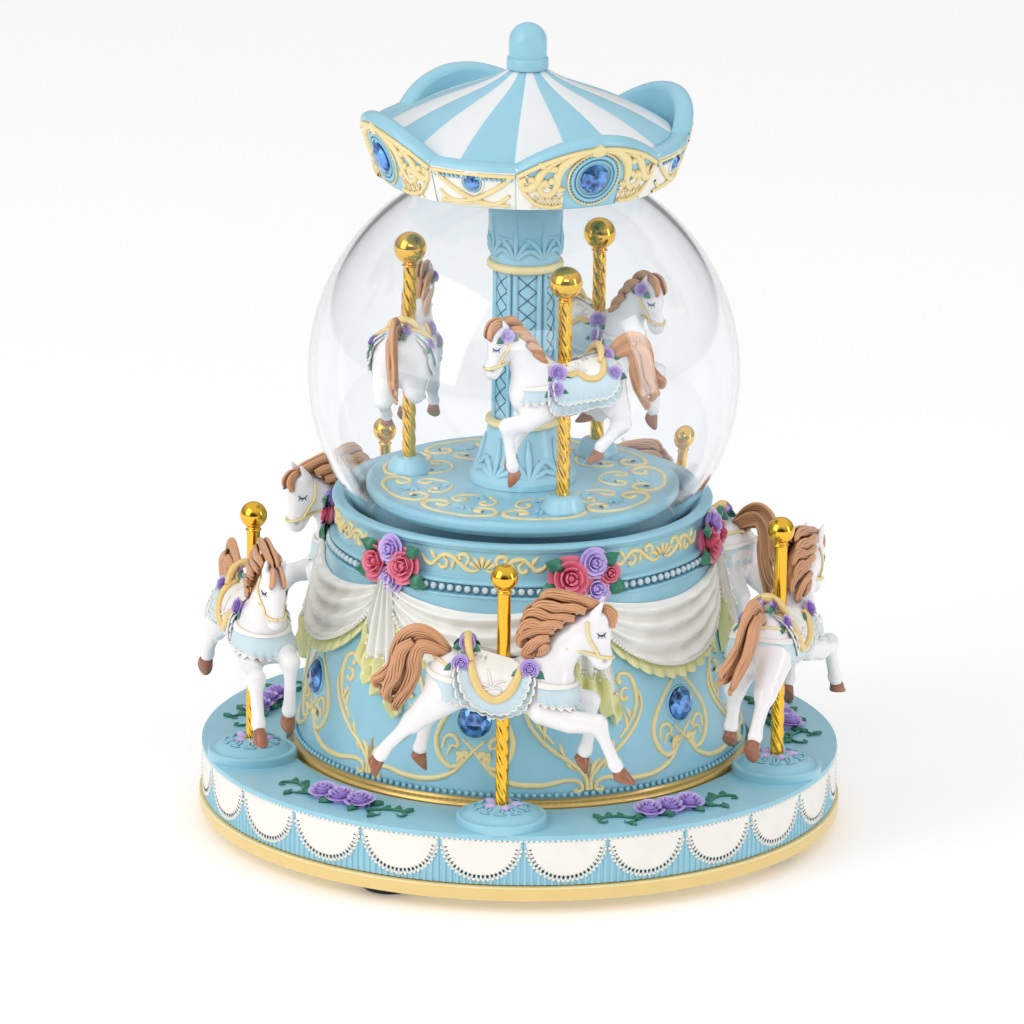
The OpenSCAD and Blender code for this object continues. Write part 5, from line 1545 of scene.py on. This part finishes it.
def add_swag(form, surface):
    u = np.linspace(-1, 1, 73)[:, None]
    v = np.linspace(0, 1, 34)[None, :]
    sag = 1 - u ** 2
    h = (SWAG_TOP - 3.2 * sag) * (1 - v) + hem_height(sag) * v
    folds = 0.5 + 0.5 * np.sin(2 * np.pi * (3.6 * v ** 0.9 + 0.2 * u) - 1.2)
    ripple = 0.12 * np.sin(u * 23 + v * 9)
    out = 0.7 + (0.35 + 0.65 * sag) * (1.9 * folds ** 1.6 + 0.7 * v) + ripple
    s = u * SWAG_REACH * (1 - 0.05 * v * (1 - sag))
    outer, back = surface(s, h, out), surface(s, h, 0.15)
    form.grid(outer, "pearl", flip=True)
    rims(form, outer, back, "pearl")
    v = np.linspace(0, 1, 9)[None, :]
    scallop = np.abs(np.sin(np.linspace(0, math.pi * HEM_SCALLOPS, 157)))[:, None]
    u = np.linspace(-0.97, 0.97, 157)[:, None]
    sag = 1 - u ** 2
    h = hem_height(sag) + 0.5 - (1.6 + 2.3 * sag ** 0.6) * (0.78 + 0.22 * scallop ** 0.7) * v
    swing = 0.8 + 0.6 * sag + (0.4 + 0.6 * sag) * (1.2 * v * scallop ** 0.8)
    s = u * SWAG_REACH * 0.97
    band, under = surface(s, h, swing), surface(s, h, swing - 0.5)
    form.grid(band, "lime", flip=True)
    form.grid(under, "lime")
    form.grid(np.stack([band[:, -1], under[:, -1]], 1), "lime", flip=True)
    for t in np.linspace(-0.96, 0.96, 66):
        sag = 1 - t * t
        spot = surface(t * SWAG_REACH * 0.965, hem_height(sag) + 0.1, 1.3 + 1.7 * sag)
        ball(form, spot, 0.48, "lace")


def tail_shape(u, h):
    """Position along the wall, and fullness, of a tail at share u of its width and height h."""
    fall = np.clip((TAIL_TOP - h) / TAIL_FALL, 0, 1)
    gather = 0.5 + 0.5 * np.cos(2 * np.pi * (3.6 * u + 0.1))
    return (2 * u - 1) * (1.5 + 5.4 * fall ** 0.8) + 0.8 * fall, (0.9 + 1.5 * fall) * gather ** 1.3


def add_tail(form, surface):
    u = np.linspace(0, 1, 65)[:, None]
    end = 45.5 - 10.5 * u + 2.6 * np.abs((u * 5.0) % 1.0 - 0.5) * 2
    seam = end + 7.5 + 1.5 * np.cos(u * 9)
    for top, bottom, mat, rows, extra, crease in ((TAIL_TOP, seam, "pearl", 26, 0.0, 0.07),
                                                  (seam, end, "lime", 14, 0.25, 0.28)):
        v = np.linspace(0, 1, rows)[None, :]
        h = top * (1 - v) + bottom * v
        s, swell = tail_shape(u, h)
        out = 1.3 + swell + extra + crease * np.sin(9 * v + 14 * u)
        face, back = surface(s, h, out), surface(s, h, 0.3)
        form.grid(face, mat, flip=True)
        rims(form, face, back, mat)
    for t in np.linspace(0.02, 0.98, 15):
        h = np.interp(t, u[:, 0], seam[:, 0])
        s, swell = tail_shape(t, h)
        ball(form, surface(s, h, 1.5 + swell), 0.42, "lace")


def make_drapes():
    """Six satin swags with a lime hem, and six pleated tails under the rose clusters."""
    form = Form()
    for k in range(6):
        add_swag(form, wall_surface(FIRST_CLUSTER + 30 + CLUSTER_STEP * k))
        add_tail(form, wall_surface(FIRST_CLUSTER + CLUSTER_STEP * k))
    build("swags_and_tails", form, "base", ["turret_drapes"])


# Roses as (s, h, radius, colour) and leaves as (s, h, turn, length)
CLUSTERS = (((-3.9, -0.3, 4.3, "pink"), (0.3, 3.5, 3.2, "lavender"), (4.3, 0.3, 3.9, "pink"),
             (0.8, -3.5, 3.4, "lavender")),
            ((-3.0, 0.0, 4.7, "pink"), (2.6, 3.2, 3.3, "lavender"), (2.9, -2.9, 3.5, "lavender"),
             (6.2, 0.6, 2.7, "pink")))
CLUSTER_LEAVES = ((-6.2, -1.6, 200, 5.2), (-5.2, 2.6, 160, 4.4), (6.8, -1.4, -25, 5.0), (5.6, 3.0, 30, 4.2),
                  (-1.6, -5.0, 240, 5.4), (3.2, -5.4, -65, 5.4), (0.6, -6.0, 268, 4.6))
STEM = [(7.0, 0.4), (10.0, -1.0), (12.6, 1.4), (15.8, 2.6), (18.4, 1.2), (18.2, -0.6), (16.8, -0.2)]
TWIG = [(9.6, -0.8), (11.4, -3.0), (13.4, -3.2), (13.4, -1.8)]
STEM_LEAVES = ((9.2, -0.8, -60), (11.8, 0.6, 80), (14.6, 2.4, 110), (16.4, 2.6, 60), (12.6, -3.2, -90))


def make_clusters():
    form = Form()
    middle = (low("rose_clusters") + high("rose_clusters")) / 2 - 2.8
    for k in range(6):
        one = Form()
        for n, (s, h, r, mat) in enumerate(CLUSTERS[k % 2]):
            centre = (s, s * s / 92 - 0.8 - 0.15 * n, middle + h)
            add_rose(one, mat, centre, (s * 0.035, -1, 0.22), r, 0.7 * n + k)
        for s, h, turn, size in CLUSTER_LEAVES:
            way = (math.cos(math.radians(turn)), -0.05, math.sin(math.radians(turn)))
            add_leaf(one, (s * 0.85, -1.4, middle + h), way, (0, -1, 0.1), size * 1.1, size * 0.42)
        ring_of(form, one, 1, FIRST_CLUSTER + CLUSTER_STEP * k, 0, CROWN_R - 0.6)
    build("rose_cluster_set", form, "base", ["rose_clusters"])


def make_deck_roses():
    form = Form()
    for k in range(5):
        one = Form()
        for n, s in enumerate((-5.4, 0.0, 5.4)):
            bend = s * s / 2 / POLE_RING
            add_rose(one, "lavender", (s, bend, DECK_Z + 0.6), (0, -0.15, 1), 3.3, n * 0.9 + k)
            for turn in (60, 200, 320):
                a = math.radians(turn + 40 * n)
                add_leaf(one, (s + 1.9 * math.cos(a), bend + 1.9 * math.sin(a), DECK_Z + 0.3),
                         (math.cos(a), math.sin(a), 0.12), (0, 0, 1), 3.6, 1.25)
        for side in (-1, 1):
            for knots, lift, radii in ((STEM, 0.35, [0.42, 0.36, 0.2]), (TWIG, 0.3, [0.32, 0.16])):
                tube(one, smooth_path([(side * x, y, DECK_Z + lift) for x, y in knots]), radii, "leaf")
            for x, y, turn in STEM_LEAVES:
                a = math.radians(turn)
                way = (side * math.cos(a), math.sin(a), 0.1)
                add_leaf(one, (side * x, y, DECK_Z + 0.35), way, (0, 0, 1), 2.6, 0.85)
        ring_of(form, one, 1, FIRST_HORSE + HORSE_STEP * (k + 0.5), 0, POLE_RING)
    build("deck_rose_set", form, "turntable", ["deck_roses"])


# ---------------------------------------------------------------- hidden movement


def paint_frame():
    """Materials for the CAD parts that stay as they are."""
    choice = {"brass": "brass", "steel": "steel", "spring_steel": "spring", "nylon": "nylon",
              "seal_rubber": "nylon", "resin_blue": "sky", "resin_cream": "cream", "black_rubber": "rubber"}
    slots = {row["node"]: row["material_slot"] for row in frame["record"]["subparts"]}
    for name, obj in frame["nodes"].items():
        key = choice.get(slots[name])
        if key:
            obj.data.materials.clear()
            obj.data.materials.append(MATS[key])


make_camera()
make_studio()
paint_frame()
make_base()
make_turntable()
make_lace()
make_pedestals()
make_poles()
make_turret()
make_scrollwork()
make_crown()
make_globe()
make_platform()
make_column()
make_canopy_panels()
make_roof()
make_horses()
make_drapes()
make_clusters()
make_deck_roses()
